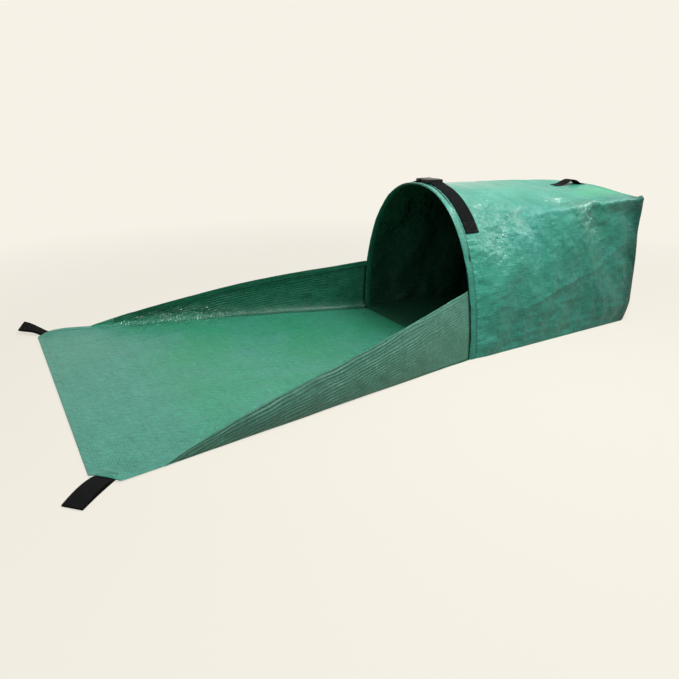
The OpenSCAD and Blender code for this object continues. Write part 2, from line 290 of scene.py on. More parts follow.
def read(at, run, line):
    """Points at distances along a line."""
    return np.stack([np.interp(at, run, line[:, k]) for k in range(line.shape[1])], -1)


def resample(line, step):
    run = run_of(line)
    count = max(2, int(round(run[-1] / step)) + 1)
    at = np.linspace(0, run[-1], count)
    return read(at, run, line)


def unit(v):
    return v / np.maximum(np.linalg.norm(v, axis=-1, keepdims=True), 1e-12)


def stitch_row(line, normals, pitch=0.0048, length=0.0036, radius=0.00055, sunk=0.0001):
    """Points and faces of a row of short threads along a line."""
    run = run_of(line)
    at = np.arange(pitch / 2, run[-1], pitch)
    mid = read(at, run, line)
    up = unit(read(at, run, normals))
    ahead = read(at + 1e-4, run, line)
    behind = read(at - 1e-4, run, line)
    fore = unit(ahead - behind)
    side = unit(np.cross(fore, up))
    turn = np.linspace(0, 2 * math.pi, 6, endpoint=False)
    rings = []
    for x, r, lift in ((-0.5, 0.35, -0.5), (-0.3, 0.9, 0.3), (0, 1, 0.5), (0.3, 0.9, 0.3), (0.5, 0.35, -0.5)):
        centre = mid + fore * (x * length) + up * (lift * radius - sunk)
        ring = [centre + (side * math.cos(a) + up * math.sin(a)) * (r * radius) for a in turn]
        rings.append(np.stack(ring, 1))
    points = np.stack(rings, 1).reshape(-1, 3)
    base = []
    for r in range(4):
        for k in range(6):
            j = (k + 1) % 6
            base.append([r * 6 + k, r * 6 + j, (r + 1) * 6 + j, (r + 1) * 6 + k])
    caps = [[5, 4, 3, 2, 1, 0], [24, 25, 26, 27, 28, 29]]
    faces = []
    for i in range(len(mid)):
        faces += [[i * 30 + v for v in f] for f in base]
        faces += [[i * 30 + v for v in f] for f in caps]
    return points, faces


def joined(parts):
    """Several (points, faces) as one."""
    points, faces, start = [], [], 0
    for p, f in parts:
        points.append(p)
        faces += [[v + start for v in face] for face in f]
        start += len(p)
    return np.concatenate(points), faces


def sew(name, parts, mat):
    """Rows of stitches as one piece."""
    points, faces = joined(parts)
    return mesh_object(name, points, faces, [mat])


def tube(name, rings, run, around, mat, masks=None, flip=False, sharp=55):
    """A closed tube through rings of points, its pattern laid along and around it."""
    rows, cols = rings.shape[:2]
    index = np.arange(rows * cols).reshape(rows, cols)
    after = np.roll(index, -1, axis=1)
    quads = np.stack([index[:-1], index[1:], after[1:], after[:-1]], -1).reshape(-1, 4)
    ends = [index[0], index[-1][::-1]]
    if flip:
        quads, ends = quads[:, [0, 3, 2, 1]], [index[0][::-1], index[-1]]
    faces = quads.tolist() + [end.tolist() for end in ends]
    pat = np.zeros((rows, cols, 3))
    pat[..., 0] = run[:, None]
    pat[..., 1] = around
    values = {"pat": pat.reshape(-1, 3)}
    for key, value in (masks or {}).items():
        values[key] = np.full(rows * cols, value)
    return mesh_object(name, rings.reshape(-1, 3), faces, [mat], None, values, sharp)


def ribbon(name, line, across, width, thick, mat, crown=0.0):
    """Webbing along a line, with rounded woven edges."""
    line = np.asarray(line, float)
    across = unit(np.broadcast_to(np.asarray(across, float), line.shape))
    fore = unit(np.gradient(line, axis=0))
    up = unit(np.cross(fore, across))
    half, r = width / 2, thick / 2
    turns = np.linspace(-math.pi / 2, math.pi / 2, 5)
    spans = np.linspace(-1, 1, 13)
    profile = [(k * (half - r), r * (1 + crown * (1 - k * k))) for k in spans]
    profile += [(half - r + r * math.cos(a), -r * math.sin(a)) for a in turns[1:-1]]
    profile += [(k * (half - r), -r + r * crown * (1 - k * k)) for k in spans[::-1]]
    profile += [(-half + r - r * math.cos(a), r * math.sin(a)) for a in turns[1:-1]]
    prof = np.array(profile)
    rings = line[:, None] + across[:, None] * prof[None, :, :1] + up[:, None] * prof[None, :, 1:]
    return tube(name, rings, run_of(line), prof[:, 0], mat, sharp=50)


# ---- shader helpers ----
class Shader:
    """A material's node tree, built a node at a time."""

    def __init__(self, name):
        self.material = bpy.data.materials.new(name)
        self.material.use_nodes = True
        self.tree = self.material.node_tree
        self.bsdf = self.tree.nodes["Principled BSDF"]

    def put(self, node, inputs):
        for key, value in inputs.items():
            target = node.inputs[key]
            if isinstance(value, bpy.types.NodeSocket):
                self.tree.links.new(value, target)
            else:
                target.default_value = value
        return node

    def node(self, kind, inputs=None, **settings):
        node = self.tree.nodes.new(kind)
        for key, value in settings.items():
            setattr(node, key, value)
        return self.put(node, inputs or {})

    def math(self, operation, *values):
        return self.node("ShaderNodeMath", dict(enumerate(values)), operation=operation).outputs[0]

    def add(self, a, b):
        return self.math("ADD", a, b)

    def sub(self, a, b):
        return self.math("SUBTRACT", a, b)

    def mul(self, a, b):
        return self.math("MULTIPLY", a, b)

    def from_middle(self, value):
        """0 in the middle of each whole step, and 1 at its ends."""
        return self.math("ABSOLUTE", self.sub(self.mul(self.math("FRACT", value), 2.0), 1.0))

    def axes(self, vector):
        return self.node("ShaderNodeSeparateXYZ", {0: vector}).outputs

    def random(self, number):
        return self.node("ShaderNodeTexWhiteNoise", {"W": number}, noise_dimensions="1D").outputs["Value"]

    def surface(self, inputs):
        self.put(self.bsdf, inputs)
        return self.material

    def attribute(self, name, output="Fac"):
        return self.node("ShaderNodeAttribute", attribute_name=name).outputs[output]

    def noise(self, vector, scale, detail=2.0, rough=0.5):
        inputs = {"Vector": vector, "Scale": scale, "Detail": detail, "Roughness": rough}
        return self.node("ShaderNodeTexNoise", inputs).outputs["Fac"]

    def span(self, value, low, high, to_low=0.0, to_high=1.0):
        inputs = {"Value": value, "From Min": low, "From Max": high, "To Min": to_low, "To Max": to_high}
        return self.node("ShaderNodeMapRange", inputs).outputs[0]

    def blend(self, factor, a, b, kind="MIX"):
        inputs = {0: factor, 6: a, 7: b}
        return self.node("ShaderNodeMix", inputs, data_type="RGBA", blend_type=kind).outputs[2]

    def bump(self, height, distance, strength=1.0, normal=None):
        inputs = {"Height": height, "Distance": distance, "Strength": strength}
        if normal is not None:
            inputs["Normal"] = normal
        return self.node("ShaderNodeBump", inputs).outputs[0]

    def stretch(self, vector, x, y, turn=0.0):
        """The vector turned, then scaled by x and y."""
        inputs = {"Vector": vector, "Scale": (1 / x, 1 / y, 1), "Rotation": (0, 0, turn)}
        return self.node("ShaderNodeMapping", inputs, vector_type="TEXTURE").outputs[0]


def rgb(red, green, blue):
    """A colour written as 0 to 255 values, as linear light."""
    def linear(c):
        c = c / 255
        return c / 12.92 if c <= 0.04045 else ((c + 0.055) / 1.055) ** 2.4
    return (linear(red), linear(green), linear(blue), 1.0)


def tape_weave(sh, x, y, pitch):
    """Height of a plain weave of flat tapes, from 0 to 1, and the number of each tape."""
    cx, cy = sh.math("DIVIDE", x, pitch), sh.math("DIVIDE", y, pitch)
    nx, ny = sh.math("FLOOR", cx), sh.math("FLOOR", cy)
    over = sh.math("FLOORED_MODULO", sh.add(nx, ny), 2.0)
    waves = []
    for c in (cx, cy):
        off = sh.from_middle(c)
        waves.append(sh.sub(1.0, sh.math("POWER", off, 3.0)))
    under = sh.sub(1.0, over)
    height = sh.add(sh.mul(waves[0], over), sh.mul(waves[1], under))
    return height, nx, ny, over


def tape_tone(sh, nx, ny, over):
    """A small random lightness for each tape."""
    a = sh.random(nx)
    b = sh.random(ny)
    under = sh.sub(1.0, over)
    return sh.add(sh.mul(a, over), sh.mul(b, under))


def creased(sh, pat, scale, x, y, turn, seed):
    """Sharp wandering crease lines: 0 on a line, rising away from it."""
    place = sh.node("ShaderNodeVectorMath", {0: sh.stretch(pat, x, y, turn), 1: (seed, seed * 0.37, 0)},
                    operation="ADD").outputs["Vector"]
    n = sh.noise(place, scale, 1.0, 0.4)
    return sh.math("MINIMUM", sh.mul(sh.math("ABSOLUTE", sh.sub(n, 0.5)), 5.0), 1.0)


def threads(sh, pat, pitch, turn, sway):
    """Parallel ribs across the pattern at an angle, each a little different: about -1 to 1."""
    axes = sh.node("ShaderNodeSeparateXYZ", {0: sh.stretch(pat, 1, 1, turn)})
    bend = sh.mul(sh.noise(sh.stretch(pat, 6, 14), 1.0, 1.0), sway)
    at = sh.add(sh.math("DIVIDE", axes.outputs[1], pitch), bend)
    own = sh.random(sh.math("FLOOR", at))
    off = sh.from_middle(at)
    hill = sh.sub(1.0, sh.mul(sh.math("POWER", off, 2.0), 2.0))
    return sh.mul(hill, sh.span(own, 0, 1, 0.35, 1.25))


def woven_film(name, base, deep, patch, rough=0.42, coat=0.5, streak_turn=0.0, rib_pitch=0.0085, rib_turn=0.0,
               rib_share=0.3, hatch=0.0, grain=0.14, dash=(30, 190)):
    """Laminated woven cloth: tapes, ribs, streaks, mottling, painted light and shade from a per-point
    attribute, and a glossy film that crinkles.
    """
    sh = Shader(name)
    pat = sh.attribute("pat", "Vector")
    x, y, _ = sh.axes(pat)
    weave, nx, ny, over = tape_weave(sh, x, y, 0.0036)
    tone_and_painted_light = tape_tone(sh, nx, ny, over)
    broad = sh.noise(pat, 4.0, 2.0, 0.55)
    blotch = sh.noise(pat, 13.0, 3.0, 0.6)
    streak_a = sh.noise(sh.stretch(pat, dash[0], dash[1], streak_turn), 1.0, 3.0, 0.7)
    streak_b = sh.noise(sh.stretch(pat, 300, 22), 1.0, 2.0, 0.6)
    dashes = sh.noise(sh.stretch(pat, dash[0] * 2.4, dash[1] * 1.1, streak_turn), 1.0, 2.0, 0.6)
    speck = sh.noise(pat, 190.0, 2.0, 0.7)
    colour = sh.blend(sh.span(blotch, 0.35, 0.7), deep, base)
    share = sh.mul(sh.span(broad, 0.30, 0.62), sh.attribute("patch"))
    colour = sh.blend(share, colour, patch)
    # Each tape a little lighter or darker at random; painted shade in the dips of the weave.
    light = sh.add(sh.span(tone_and_painted_light, 0, 1, 0.93, 1.07), sh.span(weave, 0, 1, -0.10, 0.05))
    for mark, low, high, swing in ((streak_a, 0.36, 0.64, grain), (dashes, 0.36, 0.64, grain),
                                   (streak_b, 0.3, 0.7, 0.08), (speck, 0.36, 0.64, grain / 2)):
        light = sh.mul(light, sh.span(mark, low, high, 1 - swing, 1 + swing))
    ribs = threads(sh, pat, rib_pitch, rib_turn, 3.0)
    if hatch:
        cross = threads(sh, pat, rib_pitch, rib_turn + math.pi / 2, 1.5)
        ribs = sh.add(sh.mul(ribs, 1 - hatch), sh.mul(cross, hatch))
    fade = sh.span(sh.noise(pat, 16.0, 2.0), 0.35, 0.65, 0.4, 1.0)
    ribbed = sh.mul(sh.mul(ribs, sh.attribute("rib")), fade)
    # Ribs painted lighter on their crests: partly the cloth's own stripes, partly a painted highlight.
    light = sh.mul(light, sh.add(1.0, sh.mul(ribbed, rib_share)))
    # Painted light and shade: the per-point tone attribute lightens and darkens each piece where light falls
    # and shade gathers, besides some plain tone levels.
    light = sh.mul(sh.math("MAXIMUM", light, 0.05), sh.attribute("tone_and_painted_light"))
    grey = sh.node("ShaderNodeCombineXYZ", {0: light, 1: light, 2: light}).outputs[0]
    colour = sh.blend(1.0, colour, grey, "MULTIPLY")
    crinkle = sh.attribute("crinkle")
    folds = sh.add(creased(sh, pat, 17.0, 1, 1.5, 0.6, 3.1),
                    sh.mul(creased(sh, pat, 38.0, 1.4, 1, -0.5, 7.7), 0.55))
    folds = sh.add(folds, sh.mul(creased(sh, pat, 90.0, 1, 1.6, 1.1, 1.9), 0.25))
    crumple = sh.mul(folds, crinkle)
    fine = sh.bump(weave, 0.0002, 0.6)
    body = sh.bump(ribbed, 0.0012, 1.0, fine)
    body = sh.bump(streak_a, 0.0005, 0.6, body)
    body = sh.bump(crumple, 0.0034, 0.7, body)
    film = sh.bump(crumple, 0.0085, 1.0, sh.bump(streak_a, 0.0006, 0.5, sh.bump(weave, 0.0001, 0.4)))
    gloss = sh.mul(sh.attribute("gloss"), coat)
    return sh.surface({"Base Color": colour, "Roughness": rough, "Normal": body,
                       "Coat Weight": gloss, "Coat Roughness": 0.085, "Coat IOR": 1.5, "Coat Normal": film,
                       "Specular IOR Level": 0.2})


def webbing(name):
    """Black ribbed webbing with a soft sheen."""
    sh = Shader(name)
    pat = sh.attribute("pat", "Vector")
    x, y, _ = sh.axes(pat)
    along = sh.mul(x, 2 * math.pi / 0.0022)
    column = sh.math("FLOOR", sh.math("DIVIDE", y, 0.0018))
    flip = sh.mul(sh.math("FLOORED_MODULO", column, 2.0), math.pi)
    pick = sh.math("SINE", sh.add(along, flip))
    row = sh.math("SINE", sh.mul(y, 2 * math.pi / 0.0018))
    height = sh.add(sh.mul(pick, 0.5), sh.mul(row, 0.5))
    dust = sh.noise(pat, 60.0, 3.0)
    # Painted shade: the webbing's dips darker than its ribs.
    colour = sh.blend(sh.span(height, -1, 1), rgb(5, 6, 7), rgb(26, 28, 29))
    colour = sh.blend(sh.span(dust, 0.45, 0.8, 0, 0.3), colour, rgb(34, 35, 36))
    normal = sh.bump(height, 0.0005, 0.8)
    return sh.surface({"Base Color": colour, "Roughness": 0.85, "Normal": normal, "Sheen Weight": 0.01,
                       "Sheen Roughness": 0.4, "Specular IOR Level": 0.06})


def moulded(name, colour, rough):
    """Moulded plastic with a fine spark-eroded texture and handling marks."""
    sh = Shader(name)
    place = sh.node("ShaderNodeTexCoord").outputs["Object"]
    grain = sh.noise(place, 2600.0, 2.0)
    marks = sh.noise(place, 140.0, 4.0, 0.65)
    tint = sh.blend(sh.span(marks, 0.3, 0.7), colour, tuple(min(1, c * 1.7) for c in colour[:3]) + (1,))
    normal = sh.bump(grain, 0.00015, 0.5)
    return sh.surface({"Base Color": tint, "Roughness": sh.span(marks, 0.3, 0.7, rough - 0.06, rough + 0.08),
                       "Normal": normal, "Specular IOR Level": 0.22})


def thread(name, colour):
    """Twisted polyester thread."""
    sh = Shader(name)
    place = sh.node("ShaderNodeTexCoord").outputs["Object"]
    axes = sh.node("ShaderNodeSeparateXYZ", {0: place})
    total = sh.add(sh.add(axes.outputs[0], axes.outputs[1]), axes.outputs[2])
    twist = sh.math("SINE", sh.mul(total, 2 * math.pi / 0.0007))
    # Painted highlight: the thread's twist lighter on its crests.
    tint = sh.blend(sh.span(twist, -1, 1), colour, tuple(min(1, c * 1.5) for c in colour[:3]) + (1,))
    return sh.surface({"Base Color": tint, "Roughness": 0.6, "Normal": sh.bump(twist, 0.0001, 0.6),
                       "Sheen Weight": 0.1})


CLOTH_SIDE = woven_film("coated_cloth", rgb(73, 164, 150), rgb(54, 147, 128), rgb(62, 180, 126), 0.42, 1.0,
                        -0.15, 0.0088, 0.0, 0.22, 0.5, 0.11)
CLOTH_APRON = woven_film("coated_cloth_apron", rgb(80, 164, 144), rgb(70, 154, 134), rgb(50, 158, 112),
                         0.48, 1.0, -0.49, 0.0066, 1.05, 0.22, 0.0, 0.12, (26, 150))
CLOTH_WING = woven_film("coated_cloth_wing", rgb(90, 146, 128), rgb(76, 130, 112), rgb(78, 142, 118),
                        0.42, 1.0, 0.05, 0.0090, 0.0, 0.55, 0.0, 0.12)
# Painted shade: the cloth's inner face, the mouth's lining and the wings' inner faces are a darker copy of
# the cloth.
CLOTH_INNER_PAINTED_SHADE = woven_film("coated_cloth_inside_painted_shade", rgb(46, 120, 96), rgb(36, 100, 79), rgb(40, 120, 92),
                         0.36, 1.0, 0.05, 0.0096, 0.0, 0.6)
# Painted shade: the inside of the bag and its floor are a still darker copy of the cloth.
CLOTH_DEEP_PAINTED_SHADE = woven_film("coated_cloth_deep_painted_shade", rgb(38, 90, 68), rgb(30, 76, 58), rgb(36, 90, 66), 0.5, 0.1)
WEBBING = webbing("black_webbing")
PLASTIC = moulded("buckle_plastic", rgb(14, 15, 17), 0.26)
HOOP = moulded("hoop_plastic", rgb(18, 19, 20), 0.5)
GREEN_THREAD = thread("green_thread", rgb(52, 122, 102))
PALE_THREAD = thread("pale_green_thread", rgb(62, 132, 114))
BLACK_THREAD = thread("black_thread", rgb(16, 17, 19))


# ---- the bag ----
NEAR_FOLD = [(0.135, 0.128), (0.222, 0.131), (0.300, 0.150), (0.366, 0.170), (0.434, 0.185), (0.60, 0.222)]
NEAR_NICKS = [
    [(0.036, 0.192), (0.075, 0.200), (0.118, 0.212)],
    [(0.060, 0.176), (0.110, 0.184), (0.170, 0.200)],
    [(0.085, 0.158), (0.150, 0.150), (0.205, 0.162)],
    [(0.050, 0.236), (0.066, 0.262), (0.078, 0.300)],
    [(0.440, 0.176), (0.500, 0.214), (0.530, 0.250)],
    [(0.300, 0.118), (0.420, 0.128), (0.520, 0.124)],
    [(0.452, 0.436), (0.476, 0.404), (0.512, 0.372)],
    [(0.462, 0.440), (0.490, 0.416), (0.530, 0.384)],
    [(0.470, 0.398), (0.500, 0.362), (0.546, 0.338)],
    [(0.520, 0.392), (0.548, 0.352), (0.560, 0.322)],
    [(0.60, 0.410), (0.66, 0.392), (0.75, 0.404)],
    [(0.700, 0.360), (0.735, 0.372), (0.768, 0.404)],
]
FAR_FOLDS = [
    [(0.120, 0.230), (0.260, 0.205), (0.420, 0.160), (0.560, 0.150)],
    [(0.300, 0.330), (0.420, 0.290), (0.560, 0.285)],
    [(0.045, 0.150), (0.100, 0.140), (0.160, 0.120)],
]
TOP_FOLDS = [[(0.10, 0.86), (0.24, 0.90), (0.36, 0.93)], [(0.50, 1.12), (0.60, 1.16), (0.72, 1.24)]]


def calm(s, y):
    """0 where the straps and the handle are sewn down, and 1 away from them."""
    u = 1 - np.abs(s - 1)
    strap = np.exp(-(((y - 0.055) / 0.045) ** 4 + ((u - 0.62) / 0.10) ** 4))
    handle = np.exp(-(((y - (BAG_LEN - 0.112)) / 0.115) ** 4 + ((s - 1) / 0.05) ** 4))
    return 1 - np.clip(strap + handle, 0, 1)


def crumple_share(s, y):
    """Where the film is crinkled: below the strap's foot and down from the shoulder."""
    u = 1 - np.abs(s - 1)
    foot = np.exp(-(((y - 0.15) / 0.10) ** 2 + ((u - 0.60) / 0.10) ** 2))
    tail = np.exp(-(((y - 0.11) / 0.045) ** 2 + ((u - 0.50) / 0.07) ** 2))
    lean = y - 0.445 - np.clip(0.77 - u, -0.5, 1) * 0.36
    streak = bell(lean, 0.042) * smooth(u, 0.42, 0.52) * (1 - smooth(u, 0.74, 0.80))
    ear = np.exp(-(((y - 0.70) / 0.09) ** 2 + ((u - 0.60) / 0.06) ** 2))
    return np.clip(1.2 * foot + 0.9 * tail + 1.4 * streak + 0.4 * ear, 0, 1)


def wrap_lift(s, y, v, z, coarse, fine):
    """How far the wrap stands off its smooth shape."""
    u = 1 - np.abs(s - 1)
    right = s <= 1
    arc = s * ARCH_RUN
    clear = calm(s, y)
    open_y = smooth(y, 0.03, 0.14)
    lift = 0.008 * np.sin(math.pi * np.clip(u / 0.72, 0, 1)) * np.sin(math.pi * np.clip(v, 0, 1)) ** 0.8
    lift = lift * open_y
    lift += 0.0035 * cloudy(arc / 0.22, y / 0.26, 3, 3) * open_y * clear
    lift += 0.0016 * cloudy(arc / 0.07, y / 0.09, 2, 9) * open_y * clear * smooth(0.85 - u, -0.05, 0.2)
    far = bell(s - 1.18, 0.115) * smooth(y, 0.05, 0.42) * (1 - smooth(v, 0.90, 0.995))
    dip = bell(s - 0.98, 0.105) * bell(y - 0.58, 0.115)
    lift += 0.0125 * far - 0.0095 * dip
    share = crumple_share(s, y)
    upper = 1 - 0.85 * smooth(u, 0.70, 0.76)
    lift += coarse * (0.85 + 0.2 * share) * clear * upper
    lift += fine * (0.50 + 0.60 * share) * clear * upper
    lift += facets(arc + 5, y, 0.016, 35) * (0.00010 + 0.0005 * share) * smooth(y, 0.03, 0.06) * clear * upper
    corner = (u - CORNER_U - 0.075 * (1 - smooth(v, 0.2, 0.85))) * ARCH_RUN
    corner = corner + 0.006 * perlin(y / 0.11, s * 3, 77)
    grow = smooth(v, 0.10, 0.40) * (0.55 + 0.45 * smooth(v, 0.5, 1.0))
    edge = np.where(corner > 0, np.exp(-corner / 0.045), np.exp(corner / 0.016))
    lift += (0.0055 * edge - 0.0045 * np.exp(-((corner + 0.040) / 0.020) ** 2)) * grow
    lift += 0.0075 * bell(corner, 0.018) * smooth(v, 0.94, 1.0)
    lift -= 0.0075 * bell(v - 0.945, 0.024) * (1 - smooth(u, 0.60, 0.68)) * smooth(u, 0.02, 0.2)
    for k, line in enumerate([NEAR_FOLD] + NEAR_NICKS):
        high = 0.0062 if k == 0 else 0.0024
        sizes = (0.020, 0.011) if k == 0 else (0.010, 0.006)
        lift += np.where(right, ridge(y, z, line, high, *sizes), 0)
    for line in FAR_FOLDS:
        lift += np.where(right, 0, ridge(y, z, line, 0.005, 0.018, 0.011))
    for line in TOP_FOLDS:
        lift += ridge(y, arc, line, 0.0022, 0.03, 0.014) * clear
    low = bell(z, 0.10) * open_y * smooth(z, 0.004, 0.02)
    lift += 0.0009 * low * np.sin(z / 0.0052 + 5 * perlin(y / 0.16, z / 0.08, 6))
    pucker = np.exp(-np.maximum(y - SEAM_Y, 0) / 0.016) * smooth(y, SEAM_Y, SEAM_Y + 0.004)
    lift += 0.0011 * pucker * np.sin(arc / 0.0032 + 7 * perlin(arc / 0.05, arc * 0, 8))
    return lift * smooth(z, 0.0, 0.02)


def slack_cloth(start, hold, slack, bend, frames):
    """Let a grid of cloth with a little spare cloth settle into folds, and give the settled points."""
    rows, cols = start.shape[:2]
    index = np.arange(rows * cols).reshape(rows, cols)
    quads = grid_quads(index)
    mesh = bpy.data.meshes.new("settling")
    mesh.from_pydata(start.reshape(-1, 3).tolist(), [], quads.tolist())
    obj = link(bpy.data.objects.new("settling", mesh))
    group = obj.vertex_groups.new(name="held")
    for k, weight in enumerate(hold.ravel()):
        group.add([k], float(weight), "REPLACE")
    cloth = obj.modifiers.new("cloth", "CLOTH")
    rules = cloth.settings
    rules.quality = 6
    rules.mass = 0.02
    rules.tension_stiffness = rules.compression_stiffness = 12
    rules.shear_stiffness = 6
    rules.bending_stiffness = bend
    rules.vertex_group_mass = "held"
    rules.pin_stiffness = 0.4
    rules.shrink_min = -slack
    rules.effector_weights.gravity = 0
    cloth.collision_settings.use_collision = False
    cloth.point_cache.frame_end = frames
    for step in range(1, frames + 1):
        bpy.context.scene.frame_set(step)
    settled = obj.evaluated_get(bpy.context.evaluated_depsgraph_get()).to_mesh()
    points = np.empty(len(settled.vertices) * 3)
    settled.vertices.foreach_get("co", points)
    bpy.context.scene.frame_set(1)
    bpy.data.objects.remove(obj)
    bpy.data.meshes.remove(mesh)
    return points.reshape(rows, cols, 3)


def cubic(values, at):
    """Values along the first axis, read at fractional places, through a smooth curve."""
    k = np.clip(np.floor(at).astype(int), 0, len(values) - 2)
    t = (at - k)[:, None]
    a, b = values[np.maximum(k - 1, 0)], values[k]
    c, d = values[k + 1], values[np.minimum(k + 2, len(values) - 1)]
    return b + 0.5 * t * (c - a + t * (2 * a - 5 * b + 4 * c - d + t * (3 * (b - c) + d - a)))


def settled_lift(s, v, cell, slack, bend, frames, seed):
    """How the wrap's spare cloth settles, measured along the surface's normal."""
    rows = np.linspace(0, 1, int(BAG_LEN / cell) + 1)
    cols = np.linspace(0, 2, int(2 * ARCH_RUN / cell) + 1)
    ss, vv = np.meshgrid(cols, rows)
    base = loft(ss, vv)
    n = grid_normals(base)
    y, z = base[..., 1] - MOUTH_Y, base[..., 2]
    start = base + n * (0.003 * cloudy(ss * ARCH_RUN / 0.06, y / 0.06, 3, seed))[..., None]
    hold = np.maximum(1 - smooth(y, 0.030, 0.045), smooth(vv, 0.985, 0.995))
    hold = np.maximum(np.maximum(hold, 1 - smooth(z, 0.003, 0.012)), 0.02)
    stand = ((slack_cloth(start, hold, slack, bend, frames) - base) * n).sum(-1)
    along = cubic(stand, v[:, 0] * (len(rows) - 1))
    return cubic(along.T, s[0] / 2 * (len(cols) - 1)).T


def mouth_shape(y):
    """The padded band over the hoop, the sewn groove behind it, and the rolled rim."""
    puff = 0.0016 * np.sin(math.pi * np.clip((y - 0.0025) / (SEAM_Y - 0.004), 0, 1)) ** 0.7
    groove = -0.0015 * bell(y - SEAM_Y, 0.0016)
    second = -0.0007 * bell(y - SEAM_Y + 0.006, 0.0014)
    inset = np.clip((0.003 - y) / 0.003, 0, 1)
    return puff + groove + second - 0.0016 * (1 - np.sqrt(1 - inset ** 2))


def build_wrap():
    near = np.linspace(0, 0.034, 32)
    far = np.linspace(0.038, BAG_LEN - 0.008, 178)
    rear = BAG_LEN - 0.008 + 0.008 * np.linspace(0.15, 1, 7)
    rows = np.concatenate([near, far, rear]) / BAG_LEN
    s, v = np.meshgrid(np.linspace(0, 2, 361), rows)
    smooth_shape = loft(s, v)
    n = grid_normals(smooth_shape)
    y = smooth_shape[..., 1] - MOUTH_Y
    z = smooth_shape[..., 2]
    roll = np.clip((v * BAG_LEN - (BAG_LEN - 0.006)) / 0.006, 0, 1)
    coarse = settled_lift(s, v, 0.011, 0.012, 8.0, 18, 5)
    fine = settled_lift(s, v, 0.0085, 0.012, 0.3, 14, 9)
    lift = wrap_lift(s, y, v, z, coarse, fine) * (1 - smooth(v, 0.985, 1.0) * 0.8) + mouth_shape(y)
    lift += 0.0012 * bell(v * BAG_LEN - BAG_LEN + 0.004, 0.003)
    lift -= 0.0022 * (1 - np.sqrt(1 - roll ** 2))
    outer = smooth_shape + n * lift[..., None]
    outer[..., 2] = np.maximum(outer[..., 2], 0.0002)
    z = outer[..., 2]
    pat = np.stack([y, s * ARCH_RUN], -1)
    u = 1 - np.abs(s - 1)
    # Painted shade in the sewn grooves of the sleeve seam, a painted highlight along the rolled rim, and a
    # darker band over the sleeve low on the sides.
    seam = bell(y - SEAM_Y, 0.0022) + 0.6 * bell(y - SEAM_Y + 0.006, 0.0018)
    rim = bell(y, 0.0022)
    band = (1 - smooth(y, SEAM_Y - 0.001, SEAM_Y + 0.004)) * (1 - smooth(u, 0.45, 0.75))
    tone_and_painted_light = (1 - 0.35 * np.clip(seam, 0, 1) + 0.30 * rim) * (1 - 0.20 * band)
    share = crumple_share(s, y)
    base = 0.30 + 0.25 * cloudy(y / 0.16, s * ARCH_RUN / 0.16, 2, 50)
    crinkle = np.clip(base + share, 0.05, 1) * smooth(y, 0.02, 0.05) * (1 - 0.75 * smooth(u, 0.70, 0.76))
    below = 1 - smooth(u, 0.62, 0.72)
    # Painted shade: the side darker towards the rear and towards the bottom, and much darker near the rear
    # edge; painted light: the top a little lighter.
    tone_and_painted_light = tone_and_painted_light * (1 - 0.20 * smooth(y, 0.20, BAG_LEN) * below)
    tone_and_painted_light = tone_and_painted_light * (1 - 0.22 * (1 - smooth(z, 0.04, 0.34)) * smooth(y, 0.02, 0.12))
    tone_and_painted_light = tone_and_painted_light * (1 - 0.62 * smooth(v, 0.91, 1.0) * below) * (1 + 0.12 * smooth(u, 0.70, 0.80))
    gloss = 0.06 + 0.60 * smooth(u, 0.66, 0.80) * (1 - 0.9 * smooth(y, 0.12, 0.45)) + 0.55 * share
    gloss = np.clip(gloss * (1 - 0.8 * smooth(v, 0.93, 0.99)), 0, 1)
    spot = np.exp(-(((y - 0.67) / 0.10) ** 2 + ((u - 0.82) / 0.10) ** 2))
    ribs = (0.42 - 0.22 * smooth(y, 0.20, 0.50)) * (1 - 0.8 * smooth(u, 0.58, 0.70))
    masks = {"tone_and_painted_light": tone_and_painted_light, "rib": ribs, "crinkle": crinkle, "patch": np.clip(0.15 + 1.1 * spot, 0, 1),
             "gloss": gloss}
    wrap = closed_sheet("bag_wrap_cloth", outer, pat, CLOTH, [CLOTH_SIDE, CLOTH_DEEP_PAINTED_SHADE], masks)
    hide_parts("bag_wrap")
    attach(wrap, "bag")
    return outer, n, rows


def build_sleeve():
    """Lining of the mouth: it starts at the rolled rim and is sewn down behind the hoop."""
    s = np.linspace(0, 2, 361)
    depth = np.linspace(0, SLEEVE_W, 22)
    ss, yy = np.meshgrid(s, depth)
    shape = loft(ss, yy / end_y(end_at(1 - np.abs(ss - 1))[1]))
    n = grid_normals(shape)
    puff = 0.0016 + 0.0040 * np.sin(math.pi * np.clip(yy / SLEEVE_W, 0, 1)) ** 0.6
    wave = 0.0003 * np.sin(ss * ARCH_RUN / 0.004) * smooth(yy, 0.015, SLEEVE_W)
    inner = shape - n * (puff + wave + 0.0009)[..., None]
    inner[..., 2] = np.maximum(inner[..., 2], 0.0014)
    pat = np.stack([yy, ss * ARCH_RUN], -1)
    # Painted highlight along the rolled rim's edge.
    masks = {"tone_and_painted_light": 1.0 + 0.5 * bell(yy, 0.002), "rib": 0.1, "crinkle": 0.1}
    sleeve = closed_sheet("mouth_sleeve_cloth", inner, pat, CLOTH, [CLOTH_INNER_PAINTED_SHADE], masks,
                          flip=True)
    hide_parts("mouth_sleeve")
    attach(sleeve, "bag")


def build_sleeve_stitches(outer, n, rows):
    y = rows * BAG_LEN
    parts = []
    for at in (SEAM_Y, SEAM_Y - 0.006):
        r = int(np.argmin(np.abs(y - at)))
        parts.append(stitch_row(outer[r, 2:-2], n[r, 2:-2]))
    rows_obj = sew("sleeve_stitches", parts, GREEN_THREAD)
    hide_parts("sleeve_stitching")
    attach(rows_obj, "bag")


